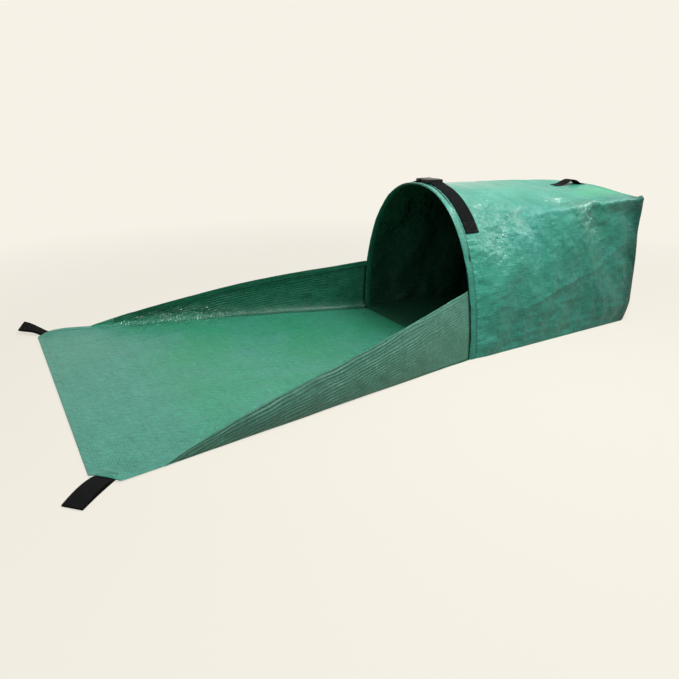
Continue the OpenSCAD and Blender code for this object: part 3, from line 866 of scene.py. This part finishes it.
def build_end():
    """Rear panel, bulged by air and creased from its corners."""
    u = np.linspace(0, 1, 150)
    u = np.concatenate([u[:-1], [0.9965]])
    k = np.linspace(-1, 1, 141)
    uu, kk = np.meshgrid(u, k, indexing="ij")
    x, z = end_at(uu)
    inset = 0.0022
    x = (x - inset) * kk
    y = MOUTH_Y + end_y(z) - 0.0012
    edge = (1 - np.abs(kk) ** 6) * np.sin(math.pi * np.clip(z / END_H, 0, 1)) ** 0.7
    bulge = 0.006 * edge + 0.004 * cloudy(x / 0.14 + 4, z / 0.14, 3, 5) * edge
    bulge += facets(x + 2, z, 0.05, 17) * 0.0012 * edge
    for side in (-1, 1):
        fan = np.arctan2(CORNER_H - z, END_HALF - side * x + 1e-6)
        far = np.hypot(CORNER_H - z, END_HALF - side * x)
        bulge += 0.0022 * np.cos(fan * 13) * np.exp(-far / 0.10) * smooth(far, 0, 0.03) * edge
    points = np.stack([x, y + bulge, np.maximum(z - inset * smooth(z, 0.2, 0.4), 0.0004)], -1)
    pat = np.stack([x, z], -1)
    masks = {"tone_and_painted_light": 0.97, "rib": 0.1, "crinkle": 0.25 * np.ones_like(x)}
    end = closed_sheet("bag_end_cloth", points[:, ::-1], pat[:, ::-1], CLOTH, [CLOTH_SIDE, CLOTH_DEEP_PAINTED_SHADE],
                       masks, flip=True)
    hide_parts("bag_end")
    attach(end, "bag")
    build_rear_seam()


def build_rear_seam():
    """The turned seam allowance round the rear panel."""
    s = np.linspace(0.0, 2.0, 500)
    u = 1 - np.abs(s - 1)
    side = np.where(s <= 1, 1.0, -1.0)
    x, z = end_at(u)
    line = np.stack([side * (x - 0.001), MOUTH_Y + end_y(z) + 0.0004, np.maximum(z - 0.001, 0.002)], -1)
    line = resample(line, 0.003)
    fore = unit(np.gradient(line, axis=0))
    out = unit(np.cross(fore, np.array([0, 1, 0.0])))
    turn = np.linspace(0, 2 * math.pi, 10, endpoint=False)
    along = run_of(line)
    fat = 1 + 0.12 * np.sin(along / 0.011) * np.cos(along / 0.047)
    rings = [line + (out * math.cos(a) * 0.0011 + np.array([0, 1, 0]) * math.sin(a) * 0.0026) * fat[:, None]
             for a in turn]
    rings = np.stack(rings, 1)
    # Painted shade: the seam allowance is made much darker than the cloth.
    masks = {"tone_and_painted_light": 0.42, "rib": 0.0, "crinkle": 0.0, "patch": 0.0, "gloss": 0.2}
    around = np.arange(rings.shape[1]) * 0.001
    seam = tube("rear_seam", rings, along, around, CLOTH_SIDE, masks, flip=True)
    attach(seam, "bag")


def build_floor():
    rows = np.concatenate([[-0.0015, 0.0, 0.002], np.linspace(0.006, BAG_LEN - TOE_IN - 0.002, 60)])
    k = np.linspace(-1, 1, 60)
    yy, kk = np.meshgrid(rows, k, indexing="ij")
    w = np.clip((yy - STRAIGHT) / (BAG_LEN - TOE_IN - STRAIGHT), 0, 1)
    w = w * smooth(w, -0.12, 0.12)
    half = MOUTH_HALF * (1 - w) + END_HALF * w - 0.0011
    x = half * kk
    z = 0.0023 + 0.0020 * np.clip(0.5 + cloudy(x / 0.12, yy / 0.12, 3, 2), 0, 1) * (1 - np.abs(kk) ** 8)
    points = np.stack([x, MOUTH_Y + yy, z], -1)
    pat = np.stack([x, yy], -1)
    masks = {"tone_and_painted_light": 1.0, "rib": 0.2, "crinkle": 0.2}
    floor = closed_sheet("bag_floor_cloth", points, pat, CLOTH, [CLOTH_DEEP_PAINTED_SHADE], masks, flip=True)
    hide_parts("bag_floor")
    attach(floor, "bag")


# ---- the apron ----
EDGE_SLOPE = (APRON_HALF - REAR_HALF) / (APRON_LEN - CORNER_CUT - FOLD_GAP)


def edge_x(t):
    return REAR_HALF + EDGE_SLOPE * (t - FOLD_GAP)


def apron_half(t):
    """Half width of the apron, with its cut corners, at a distance in front of the mouth."""
    cut = APRON_HALF - (t - (APRON_LEN - CORNER_CUT))
    return np.where(t <= APRON_LEN - CORNER_CUT, edge_x(t), cut)


def wing_top(t, side=1):
    """Height of the wing's top edge: the near one hangs slack in its middle, the far one near the mouth."""
    even = WING_H * np.maximum(0, 1 - t / WING_REACH) ** 0.82
    if side < 0:
        return even - 0.030 * (1 - smooth(t, -0.12, 0.56))
    return even - 0.008 * bell(t - 0.50, 0.14) * np.minimum(1, even / 0.05)


def ground_wave(x, t):
    """How far the apron lies off the ground."""
    soft = 0.5 + cloudy(x / 0.30 + 7, t / 0.34, 3, 4)
    hug = smooth(t, 0.0, 0.10)
    small = 0.0004 * cloudy(x / 0.05, t / 0.11, 2, 12)
    return (0.0034 * np.clip(soft, 0, 1) + small + 0.0004) * hug + 0.0004


APRON_FOLDS = [
    [(0.40, 0.92), (0.36, 0.84), (0.34, 0.74)],
    [(0.43, 0.97), (0.38, 0.93), (0.31, 0.90)],
    [(-0.30, 0.95), (-0.33, 0.80), (-0.36, 0.62)],
    [(-0.10, 1.02), (0.02, 0.98), (0.15, 0.99)],
    [(0.10, 0.70), (0.12, 0.52), (0.08, 0.36)],
    [(-0.42, 1.00), (-0.39, 0.88), (-0.38, 0.78)],
]


def apron_z(x, t):
    z = ground_wave(x, t)
    along_x = (np.abs(x) - (APRON_HALF - CORNER_CUT / 2)) / math.sqrt(2)
    along_t = (t - (APRON_LEN - CORNER_CUT / 2)) / math.sqrt(2)
    z = z + 0.0042 * bell(along_x + along_t, 0.034, 4) * bell(along_x - along_t, 0.036, 4)
    z = z + 0.006 * bell(x + APRON_HALF, 0.06) * smooth(t, 0.80, 1.0) * (1 - smooth(t, 1.07, 1.13))
    for line in APRON_FOLDS:
        z = z + ridge(x, t, line, 0.0032, 0.016, 0.009) * smooth(t, 0.02, 0.12)
    covers_mouth = (1 - smooth(np.abs(x), 0.31, 0.39)) * (1 - smooth(t, 0.51, 0.61))
    return 0.0004 + (z - 0.0004) * (1 - 0.92 * covers_mouth)


def build_apron():
    t = np.linspace(-0.004, APRON_LEN, 260)
    k = np.linspace(-1, 1, 231)
    tt, kk = np.meshgrid(t, k, indexing="ij")
    x = (apron_half(tt) - 0.0015) * kk
    z = apron_z(x, tt) + CLOTH
    points = np.stack([x, MOUTH_Y - tt, z], -1)
    pat = np.stack([tt, x], -1)
    inset = edge_x(tt) + x
    far = bell(inset, 0.07) * smooth(tt, 0.40, 0.6) * (1 - smooth(tt, 0.90, 1.0))
    near = bell(edge_x(tt) - x - 0.06, 0.10) * smooth(tt, 0.35, 0.6)
    # Painted shade: the apron darker near the mouth.
    painted_shade_near_mouth = 1.0 - 0.16 * (1 - smooth(tt, 0.1, 0.7))
    masks = {"tone_and_painted_light": painted_shade_near_mouth, "rib": 0.10 + 0.70 * near, "crinkle": np.clip(0.12 + 0.8 * far, 0, 1),
             "gloss": np.clip(0.15 + 0.8 * far, 0, 1), "patch": 0.75 * (1 - smooth(tt, 0.75, 1.0))}
    apron = closed_sheet("apron_cloth", points, pat, CLOTH, [CLOTH_APRON, CLOTH_INNER_PAINTED_SHADE], masks)
    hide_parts("apron_floor")
    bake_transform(apron)


def hem_lines():
    """Outer and inner line of the hem, point for point, round the free edges."""
    cut_in = CORNER_CUT - HEM_W * (2 - math.sqrt(2))
    start = WING_LEN - 0.01
    outer = [(edge_x(start), start), (APRON_HALF, APRON_LEN - CORNER_CUT),
             (APRON_HALF - CORNER_CUT, APRON_LEN)]
    inner = [(edge_x(start) - HEM_W, start), (APRON_HALF - HEM_W, APRON_LEN - HEM_W - cut_in),
             (APRON_HALF - HEM_W - cut_in, APRON_LEN - HEM_W)]
    outer += [(-x, t) for x, t in outer[::-1]]
    inner += [(-x, t) for x, t in inner[::-1]]
    outer, inner = np.array(outer), np.array(inner)
    run = run_of(outer)
    at = np.linspace(0, run[-1], 420)
    out = read(at, run, outer)
    into = read(at, run, inner)
    return out, into


def build_hem():
    out, into = hem_lines()
    steps = np.array([1.0, 0.96, 0.8, 0.6, 0.4, 0.2, 0.08, 0.02, 0.0, -0.004])
    drop = np.array([-0.0006, 0, 0, 0, 0, 0, 0, -0.0002, -0.0008, -0.0016])
    grid = out[None] * (1 - steps[:, None, None]) + into[None] * steps[:, None, None]
    z = apron_z(grid[..., 0], grid[..., 1]) + 2 * CLOTH + 0.0004 + drop[:, None]
    z += 0.0003 * np.sin(run_of(out) / 0.009)[None] * (steps[:, None] > 0.1) * (steps[:, None] < 0.9)
    points = np.stack([grid[..., 0], MOUTH_Y - grid[..., 1], np.maximum(z, 0.001)], -1)
    pat = np.stack([np.broadcast_to(run_of(out)[None], z.shape), steps[:, None] * HEM_W + z * 0], -1)
    masks = {"tone_and_painted_light": 0.98, "rib": 0.1, "crinkle": 0.1, "patch": 0.0}
    hem = closed_sheet("apron_hem_cloth", points, pat, CLOTH, [CLOTH_APRON], masks, flip=True)
    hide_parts("apron_hem")
    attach(hem, "apron")
    stitch_line = np.stack([out[:, 0] * 0.15 + into[:, 0] * 0.85, out[:, 1] * 0.15 + into[:, 1] * 0.85], -1)
    z = apron_z(stitch_line[:, 0], stitch_line[:, 1]) + 2 * CLOTH + 0.0005
    line = np.stack([stitch_line[:, 0], MOUTH_Y - stitch_line[:, 1], z], -1)
    up = np.broadcast_to(np.array([0, 0, 1.0]), line.shape)
    row = sew("apron_hem_stitches", [stitch_row(line, up)], PALE_THREAD)
    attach(row, "apron")


def wing_shape(side, t, k):
    """A point on the wing's inner face: k from the fold (0) to the top edge (1)."""
    top = wing_top(t, side)
    bend = np.minimum(0.006, top / 2) if side > 0 else np.minimum(0.034, top * 0.7)
    z = top * k
    pull = smooth(-t, -0.45, 0.0) * (REAR_HALF - arch_x(z) + 0.0035 * smooth(-t, -0.02, 0.0))
    bow = 0.010 * np.sin(math.pi * np.clip(k, 0, 1)) * smooth(t, 0.02, 0.3) * smooth(WING_LEN - t, 0, 0.35)
    lean = 0.05 * z * smooth(t, 0.15, 0.6)
    inward = np.clip(1 - z / np.maximum(bend, 1e-5), 0, 1)
    toe = bend * (1 - np.sqrt(1 - inward ** 2)) * 0.8
    x = edge_x(t) - 0.0012 - pull - lean + bow - toe
    return x, z


def build_wing(side, name):
    t = np.concatenate([np.linspace(-0.003, 0.03, 12), np.linspace(0.034, WING_REACH * 0.998, 260)])
    k = np.concatenate([np.linspace(0, 0.12, 10), np.linspace(0.14, 1, 48)])
    tt, kk = np.meshgrid(t, k, indexing="ij")
    x, z = wing_shape(side, tt, kk)
    top = wing_top(tt, side)
    drop = top - z
    seed = 40 if side > 0 else 60
    swell = smooth(z, 0.004, 0.03) * smooth(tt, 0.004, 0.05)
    off = 0.0034 * cloudy(tt / 0.20, z / 0.12, 3, seed) + 0.0013 * facets(tt, z, 0.055, seed + 3)
    if side < 0:
        folded = bell(z - 0.022, 0.030) * smooth(tt, 0.35, 0.6)
        off = off + (0.0042 * facets(tt, z, 0.044, 71) + 0.0016 * facets(tt, z, 0.018, 73)) * folded
    off += 0.00045 * np.sin(drop / 0.0095 * 2 * math.pi + 1.5 * perlin(tt / 0.09, drop / 0.05, seed + 1))
    x = x + off * swell
    points = np.stack([side * x, MOUTH_Y - tt, z + 0.0012], -1)
    pat = np.stack([tt, drop], -1)
    rib = np.clip(1.0 - 0.7 * smooth(drop, 0.06, 0.16), 0, 1) * (0.45 + 0.55 * smooth(tt, 0.05, 0.40))
    # Painted shade along the hem's sewn edge and at the foot of the wing, and a painted highlight along the
    # top edge.
    hem_edge = bell(drop - WING_HEM_W, 0.0012)
    rim = 2.0 * bell(drop, 0.0016)
    foot = smooth(z, 0.0, 0.012)
    tone_and_painted_light = (1.0 - 0.18 * hem_edge + 0.30 * rim) * (0.80 + 0.20 * foot)
    glint = bell(z - 0.028, 0.030) * smooth(tt, 0.45, 0.65) * (side < 0)
    # Painted shadow: a dark slit where the wing's rear edge tucks in under the mouth's rim.
    tone_and_painted_light = tone_and_painted_light * (1 - 0.85 * np.exp(-((np.maximum(tt, 0) / 0.006) ** 2)))
    if side > 0:
        # Painted light: the near wing lighter towards the mouth and darker towards its tip.
        tone_and_painted_light = tone_and_painted_light * (0.74 + 0.30 * (1 - smooth(tt, 0.0, 0.9)))
    else:
        # Painted highlight: the far wing lighter low along its fold and towards its tip.
        low = (1 - smooth(z, 0.004, 0.040)) * smooth(tt, 0.45, 0.7)
        tone_and_painted_light = tone_and_painted_light * (0.86 + 0.8 * low + 0.7 * smooth(tt, 0.84, 0.98))
        rib = 0.7 * rib * (1 - smooth(tt, 0.55, 0.8)) * smooth(z, 0.02, 0.06)
    masks = {"tone_and_painted_light": tone_and_painted_light, "rib": rib, "crinkle": 0.15 + 0.85 * glint, "gloss": 0.04 + 0.9 * glint}
    mats = [CLOTH_INNER_PAINTED_SHADE, CLOTH_WING]
    wing = closed_sheet(name, points, pat, CLOTH, mats, masks, flip=side < 0)
    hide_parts("wing_right" if side > 0 else "wing_left")
    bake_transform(wing)
    build_wing_hem(side, t, points, k)


def build_wing_hem(side, t, points, k):
    """The folded hem inside the wing's top edge, and its row of stitches."""
    keep = wing_top(t, side) > WING_HEM_W + 0.012
    t, grid = t[keep], points[keep]
    top = wing_top(t, side)
    out, pats = [], []
    for drop in (0.0, 0.0008, 0.005, 0.010, 0.015, WING_HEM_W - 0.0008, WING_HEM_W):
        want = 1 - drop / top
        at = np.stack([[np.interp(w, k, row[:, a]) for w, row in zip(want, grid)] for a in range(3)], -1)
        out.append(at)
        pats.append(np.stack([t, t * 0 + drop], -1))
    line = np.stack(out, 1)
    inward = np.array([-side, 0, 0.0])
    lift = np.array([0.0004, 0.0010, 0.0011, 0.0011, 0.0011, 0.0010, 0.0004])
    line = line + inward * lift[None, :, None]
    line[:, 0, 2] += 0.0006
    name = "wing_hem_right_cloth" if side > 0 else "wing_hem_left_cloth"
    masks = {"tone_and_painted_light": 0.95, "rib": 0.3, "crinkle": 0.1}
    hem = closed_sheet(name, line, np.stack(pats, 1), CLOTH * 0.8, [CLOTH_INNER_PAINTED_SHADE], masks,
                       flip=side > 0)
    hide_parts("wing_hem_right" if side > 0 else "wing_hem_left")
    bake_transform(hem)
    parts = []
    for sign in (1, -1):
        want = 1 - (WING_HEM_W - 0.003) / top
        at = np.stack([[np.interp(w, k, row[:, a]) for w, row in zip(want, grid)] for a in range(3)], -1)
        off = -side * sign * (0.0013 if sign > 0 else 0.0010)
        at = at + np.array([off, 0, 0])
        parts.append(stitch_row(at, np.broadcast_to(np.array([-side * sign, 0, 0.0]), at.shape)))
    points, faces = joined(parts)
    stitches = mesh_object(name.replace("cloth", "stitches"), points, faces, [GREEN_THREAD])
    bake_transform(stitches)


# ---- webbing ----
STRAP_Y = (STRAP_LOW.y + STRAP_HIGH.y) / 2
BUCKLE_T = 0.0105
BUCKLE_Z = MOUTH_H + 0.0022 + BUCKLE_T / 2
BUCKLE_HALF = 0.038
BUCKLE_W = 0.058


def arch_point(degrees, grow):
    a = np.radians(degrees)
    return (MOUTH_HALF + grow) * np.cos(a) ** ARCH_EXP, (MOUTH_H + grow) * np.sin(a) ** ARCH_EXP


def strap_path():
    """Middle line of the right half of the strap, from its sewn foot up to the buckle's bar."""
    low = 0.0026
    line = [arch_point(a, low) for a in np.linspace(46, 79.5, 40)]
    at_x = arch_point(79.5, low)[0]
    end_x, end_z = BUCKLE_HALF - 0.011, BUCKLE_Z - 0.001
    for k in np.linspace(0, 1, 12)[1:]:
        x = at_x + (end_x - at_x) * k
        ground = (MOUTH_H + low) * (1 - (x / (MOUTH_HALF + low)) ** 2.2) ** (1 / 2.2)
        line.append((x, ground + (end_z - MOUTH_H - low) * smooth(k, 0.1, 0.95)))
    line = resample(np.array(line), 0.004)
    return np.stack([line[:, 0], np.full(len(line), STRAP_Y), line[:, 1]], -1)


def slab(bm, outline, low, high, bevel=0.0009):
    """A flat moulded shape with rounded edges, added to a bmesh."""
    rings = [[bm.verts.new((x, y, z)) for x, y in outline] for z in (low, high)]
    count = len(outline)
    faces = [bm.faces.new(rings[0][::-1]), bm.faces.new(rings[1])]
    for k in range(count):
        j = (k + 1) % count
        faces.append(bm.faces.new([rings[0][k], rings[0][j], rings[1][j], rings[1][k]]))
    edges = list(dict.fromkeys(e for f in faces for e in f.edges))
    bmesh.ops.bevel(bm, geom=edges, offset=bevel, segments=3, profile=0.5, affect="EDGES", clamp_overlap=True)


def bar(x0, x1, y0, y1):
    return [(x0, y0), (x1, y0), (x1, y1), (x0, y1)]


def moulding(name, shapes, node, body):
    """One moulded buckle piece, from its flat shapes, in place of its CAD node."""
    bm = bmesh.new()
    for outline, low, high, bevel in shapes:
        slab(bm, outline, low, high, bevel)
    bm.normal_update()
    mesh = bpy.data.meshes.new(name)
    bm.to_mesh(mesh)
    bm.free()
    mesh.materials.append(PLASTIC)
    mesh.transform(Matrix.Translation((0, STRAP_Y, BUCKLE_Z)))
    mesh.polygons.foreach_set("use_smooth", np.ones(len(mesh.polygons), bool))
    mesh.set_sharp_from_angle(angle=math.radians(35))
    piece = link(bpy.data.objects.new(name, mesh))
    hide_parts(node)
    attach(piece, body)


def build_buckle():
    t, w, end = BUCKLE_T / 2, BUCKLE_W / 2, BUCKLE_HALF
    waist = [(-0.011, -w + 0.004), (0.004, -w), (0.018, -w), (end, -w + 0.003), (end, w - 0.003), (0.018, w),
             (0.004, w), (-0.011, w - 0.004), (-0.013, 0.012), (-0.008, 0.0), (-0.013, -0.012)]
    cover = [(x * 0.96, y * 0.97) for x, y in waist]
    socket = [(waist, t - 0.0026, t - 0.0006, 0.0008), (waist, -t, -t + 0.0022, 0.0008),
              (cover, t - 0.0010, t, 0.0006),
              (bar(end - 0.0045, end - 0.0005, -w + 0.004, w - 0.004), -t + 0.0008, t - 0.0012, 0.0011),
              (bar(end - 0.017, end - 0.013, -w + 0.005, w - 0.005), -t + 0.001, t - 0.001, 0.0009)]
    for side in (-1, 1):
        socket.append((bar(0.014, end - 0.001, side * (w - 0.0045), side * (w - 0.0012))
                       [::side], -t + 0.001, t - 0.001, 0.0009))
        rail = bar(-0.006, 0.010, side * 0.0065, side * 0.0085)[::side]
        socket.append((rail, -t + 0.001, t - 0.001, 0.0006))
    moulding("buckle_socket_shell", socket, "buckle_socket", "bag")
    plug = [(bar(-end, -end + 0.0042, -w + 0.001, w - 0.001), -t + 0.0012, t - 0.0006, 0.0012),
            (bar(-end + 0.0115, -end + 0.018, -w + 0.002, w - 0.002), -t + 0.0012, t - 0.0006, 0.0012),
            (bar(-end + 0.015, 0.012, -0.0052, 0.0052), -0.0022, 0.0022, 0.0007)]
    for side in (-1, 1):
        plug.append((bar(-end + 0.001, -end + 0.017, side * (w - 0.0052), side * (w - 0.0008))[::side],
                     -t + 0.0014, t - 0.0008, 0.0012))
    moulding("buckle_plug_frame", plug, "buckle_plug", "buckle_plug")
    arm = [(-end + 0.0187, 0.0190), (-end + 0.0187, 0.0232), (-0.010, 0.0262), (0.001, 0.0268),
           (0.0105, 0.0262), (0.0125, 0.0225), (0.0085, 0.0212), (0.000, 0.0222), (-0.010, 0.0216)]
    for side, where in ((-1, "front"), (1, "rear")):
        outline = [(x, y * side) for x, y in arm][::-side]
        moulding("buckle_prong_" + where + "_arm", [(outline, -0.0024, 0.0024, 0.0008)],
                 "buckle_prong_" + where, "buckle_prong_" + where)


def build_straps():
    line = strap_path()
    for side, name in ((1, "strap_right"), (-1, "strap_left")):
        path = line * np.array([side, 1, 1])
        across = np.array([0, -side, 0.0])
        strap = ribbon(name + "_webbing", path, across, WEB_W, WEB_T, WEBBING, 0.15)
        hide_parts(name)
        if side > 0:
            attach(strap, "bag")
        else:
            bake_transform(strap)
    parts = []
    run = run_of(line)
    for side in (1, -1):
        parts += box_stitches(line * np.array([side, 1, 1]), run, 0.005, 0.036, np.array([0, 1.0, 0]), side)
    sewn = sew("strap_stitches", parts, BLACK_THREAD)
    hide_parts("strap_stitching")
    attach(sewn, "bag")


def crossed_box(x0, x1, y0, y1):
    """The two lines of a box with a cross, as close points."""
    box = [(x0, y0), (x1, y0), (x1, y1), (x0, y1), (x0, y0), (x1, y1)]
    return [resample(np.array(corners, float), 0.001) for corners in (box, [(x1, y0), (x0, y1)])]


def box_stitches(line, run, start, end, across, side):
    """A box with a cross, sewn through webbing whose middle line is given."""
    half = WEB_W / 2 - 0.005
    parts = []
    fore = np.gradient(line, axis=0)
    up_all = unit(np.cross(np.broadcast_to(across, line.shape), fore)) * side
    for spots in crossed_box(start, end, -half, half):
        mid = read(spots[:, 0], run, line)
        up = unit(read(spots[:, 0], run, up_all))
        up = up * np.sign(up[:, 2:3] + 1e-9)
        place = mid + across * spots[:, 1:] + up * (WEB_T / 2 + 0.0003)
        parts.append(stitch_row(place, up, 0.0038, 0.0030, 0.00045))
    return parts


def build_handle(outer):
    """One strip of webbing: two sewn tabs that lie on the bag, and a free bow between them."""
    crown = outer[:, outer.shape[1] // 2]
    front, rear = TAB_FRONT_LOW.y, TAB_REAR_HIGH.y
    middle, half, span = (front + rear) / 2, (rear - front) / 2, 0.056
    k = np.linspace(-half, half, 120)
    lying = np.interp(middle + k, crown[:, 1], crown[:, 2]) + WEB_T / 2 + 0.0003
    chord = np.interp(k, [-span, span], [lying[np.abs(k + span).argmin()], lying[np.abs(k - span).argmin()]])
    skewed = np.clip(k / span, -1, 1)
    skewed = skewed - 0.25 * (1 - skewed ** 2)
    bow = ((1 + np.cos(math.pi * skewed)) / 2) ** 0.85
    z = np.where(np.abs(k) < span, chord * (1 - bow) + bow * (chord + 0.0165), lying)
    line = np.stack([k * 0, middle + k, z], -1)
    handle = ribbon("rear_handle_webbing", line, (-1, 0, 0), 0.86 * WEB_W, WEB_T, WEBBING,
                    0.15)
    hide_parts("rear_handle", "handle_tab_front", "handle_tab_rear")
    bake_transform(handle)
    run = run_of(line)
    parts = box_stitches(line, run, 0.004, 0.024, np.array([1.0, 0, 0]), 1)
    parts += box_stitches(line, run, run[-1] - 0.024, run[-1] - 0.004, np.array([1.0, 0, 0]), 1)
    sewn = sew("handle_stitches", parts, BLACK_THREAD)
    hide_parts("handle_stitching")
    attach(sewn, "bag")


LOOP_LEN = 0.118


def corner_spot(side):
    x = APRON_HALF - CORNER_CUT / 2
    y = MOUTH_Y - APRON_LEN + CORNER_CUT / 2
    outward, along = np.array([side, -1, 0]) / math.sqrt(2), np.array([side, 1, 0]) / math.sqrt(2)
    return np.array([side * x, y, 0.0]), outward, along


def loop_frame(side, k):
    """Middle line, width direction and up of a loop, from its root (0) to its bend (1)."""
    spot, out, across = corner_spot(side)
    k = np.clip(k, -0.2, 1)[:, None]
    reach = LOOP_LEN - 0.005
    held = np.clip(k, 0, 1)
    if side > 0:
        middle = spot + out * k * reach + across * 0.006 * held ** 2
        wide = np.broadcast_to(across, middle.shape)
    else:
        lift = 0.020 * held ** 1.5 + 0.006 * np.sin(math.pi * held)
        middle = spot + out * k * reach * 0.85 + np.array([0, 0, 1.0]) * lift
        low_side = unit(np.array([-0.94, 0.30, 0.0]))
        free_end = unit(np.array([-0.80, 0.50, 0.30]))
        wide = across * (1 - smooth(k, -0.15, 0.12)) + low_side * smooth(k, -0.15, 0.12)
        wide = unit(wide * (1 - smooth(k, 0.3, 1.0)) + free_end * smooth(k, 0.3, 1.0))
    fore = unit(np.gradient(middle, axis=0))
    up = unit(np.cross(fore, wide)) * side
    return middle, wide, np.where(up[:, 2:3] < 0, -up, up)


def loop_line(side):
    """One closed fold of webbing: out along the ground, round, and back with a low eye."""
    k = np.linspace(-0.17, 1, 46)
    middle, wide, up = loop_frame(side, k)
    eye = 0.0034 + (0.0048 if side > 0 else 0.003) * np.sin(math.pi * np.clip(k, 0, 1) ** 0.8)
    low = middle + up * 0.0012
    high = middle + up * (0.0012 + np.where(k < 0, 0.0022, eye))[:, None]
    bulge = (high[-1] - low[-1]) / 2
    centre = (high[-1] + low[-1]) / 2
    ahead = unit(middle[-1] - middle[-2]) * 0.0024
    turn = np.linspace(-math.pi / 2, math.pi / 2, 9)[1:-1]
    bend = [centre + ahead * math.cos(a) + bulge * math.sin(a) for a in turn]
    line = np.concatenate([low, bend, high[::-1]])
    across = np.concatenate([wide, np.repeat(wide[-1:], 7, 0), wide[::-1]])
    return line, across


def build_loops():
    for side, name in ((1, "corner_loop_right"), (-1, "corner_loop_left")):
        spot, out, across = corner_spot(side)
        line, wide = loop_line(side)
        line[:, 2] = np.maximum(line[:, 2], 0.0012)
        loop = ribbon(name + "_webbing", line, wide * -side, WEB_W, WEB_T, WEBBING, 0.1)
        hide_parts(name)
        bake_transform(loop)
    parts = []
    for side in (1, -1):
        spot, out, across = corner_spot(side)
        place = spot - out * HEM_W / 2
        for spots in crossed_box(-0.024, 0.024, -0.008, 0.008):
            at = place + across * spots[:, :1] + out * spots[:, 1:]
            at[:, 2] = apron_z(at[:, 0], MOUTH_Y - at[:, 1]) + 2 * CLOTH + 0.0006
            upward = np.broadcast_to(np.array([0, 0, 1.0]), at.shape)
            parts.append(stitch_row(at, upward, 0.0038, 0.003, 0.0005))
    sewn = sew("loop_stitches", parts, PALE_THREAD)
    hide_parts("loop_stitching")
    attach(sewn, "apron")


# ---- stage ----
CREAM = rgb(247, 242, 231)


def cream_world():
    world = bpy.data.worlds.new("studio")
    bpy.context.scene.world = world
    world.use_nodes = True
    tree = world.node_tree
    tree.nodes.clear()
    out = tree.nodes.new("ShaderNodeOutputWorld")
    seen = tree.nodes.new("ShaderNodeBackground")
    seen.inputs["Color"].default_value = CREAM
    fill = tree.nodes.new("ShaderNodeBackground")
    fill.inputs["Color"].default_value = rgb(250, 250, 250)
    fill.inputs["Strength"].default_value = 0.32
    path = tree.nodes.new("ShaderNodeLightPath")
    either = tree.nodes.new("ShaderNodeMath")
    either.operation = "MAXIMUM"
    tree.links.new(path.outputs["Is Camera Ray"], either.inputs[0])
    most = tree.nodes.new("ShaderNodeMath")
    most.operation = "MAXIMUM"
    tree.links.new(path.outputs["Is Glossy Ray"], most.inputs[0])
    tree.links.new(path.outputs["Is Transmission Ray"], most.inputs[1])
    tree.links.new(most.outputs[0], either.inputs[1])
    mix = tree.nodes.new("ShaderNodeMixShader")
    tree.links.new(either.outputs[0], mix.inputs[0])
    tree.links.new(fill.outputs[0], mix.inputs[1])
    tree.links.new(seen.outputs[0], mix.inputs[2])
    tree.links.new(mix.outputs[0], out.inputs["Surface"])


def floor_material():
    sh = Shader("studio_floor")
    place = sh.node("ShaderNodeTexCoord").outputs["Object"]
    far = sh.node("ShaderNodeVectorMath", {0: place}, operation="LENGTH").outputs["Value"]
    near = sh.span(far, 1.1, 2.6, 0.26, 0.0)
    glow = sh.node("ShaderNodeEmission", {"Color": CREAM, "Strength": 1.0}).outputs[0]
    matte = sh.node("ShaderNodeBsdfDiffuse", {"Color": rgb(246, 240, 226)}).outputs[0]
    mix = sh.node("ShaderNodeMixShader", {0: near, 1: glow, 2: matte}).outputs[0]
    path = sh.node("ShaderNodeLightPath")
    seen = sh.math("MAXIMUM", path.outputs["Is Camera Ray"],
                   sh.math("MAXIMUM", path.outputs["Is Glossy Ray"], path.outputs["Is Transmission Ray"]))
    plain = sh.node("ShaderNodeBsdfDiffuse", {"Color": rgb(170, 166, 156)}).outputs[0]
    final = sh.node("ShaderNodeMixShader", {0: seen, 1: plain, 2: mix}).outputs[0]
    out = sh.tree.nodes["Material Output"]
    sh.tree.links.new(final, out.inputs["Surface"])
    return sh.material


def build_stage():
    cream_world()
    size = 14.0
    points = [(-size, -size, 0), (size, -size, 0), (size, size, 0), (-size, size, 0)]
    floor = mesh_object("studio_floor", points, [[0, 1, 2, 3]], [floor_material()])
    floor.location.z = -0.0004


def soft_light(name, place, target, wide, tall, power, shine_only=False):
    data = bpy.data.lights.new(name, "AREA")
    data.shape = "RECTANGLE"
    data.size, data.size_y = wide, tall
    data.energy = power
    lamp = link(bpy.data.objects.new(name, data))
    lamp.location = place
    aim = Vector(target) - Vector(place)
    lamp.rotation_euler = aim.to_track_quat("-Z", "Y").to_euler()
    lamp.visible_diffuse = not shine_only


def build_lights():
    soft_light("key_overhead", (0.9, 0.5, 2.5), (0, 0.1, 0.1), 1.0, 0.8, 50)
    soft_light("front_fill", (2.2, -0.7, 1.3), (0.2, 0.1, 0.2), 0.9, 0.7, 4.0)
    soft_light("rear_glint", (0.8, 3.0, 2.1), (0.25, 0.6, 0.4), 0.5, 0.35, 55, shine_only=True)
    soft_light("shoulder_glint", (0.18, 2.0, 2.45), (0.22, 0.3, 0.43), 0.25, 0.25, 18, shine_only=True)


def build_camera():
    data = bpy.data.cameras.new("camera")
    data.sensor_width = 36
    data.lens = 36.737
    camera = link(bpy.data.objects.new("camera", data))
    camera.location = (1.9346, -1.0757, 0.769)
    camera.rotation_euler = (math.pi / 2 - 0.3332, 0, 1.0838)
    bpy.context.scene.camera = camera


build_camera()
wrap_outer, wrap_normals, wrap_rows = build_wrap()
build_sleeve()
build_sleeve_stitches(wrap_outer, wrap_normals, wrap_rows)
build_end()
build_floor()
build_apron()
build_hem()
build_wing(1, "wing_right_cloth")
build_wing(-1, "wing_left_cloth")
build_straps()
build_handle(wrap_outer)
build_loops()
build_buckle()
NODES["hoop_strip"].data.materials.clear()
NODES["hoop_strip"].data.materials.append(HOOP)
build_stage()
build_lights()
bpy.context.scene.view_settings.view_transform = "Standard"
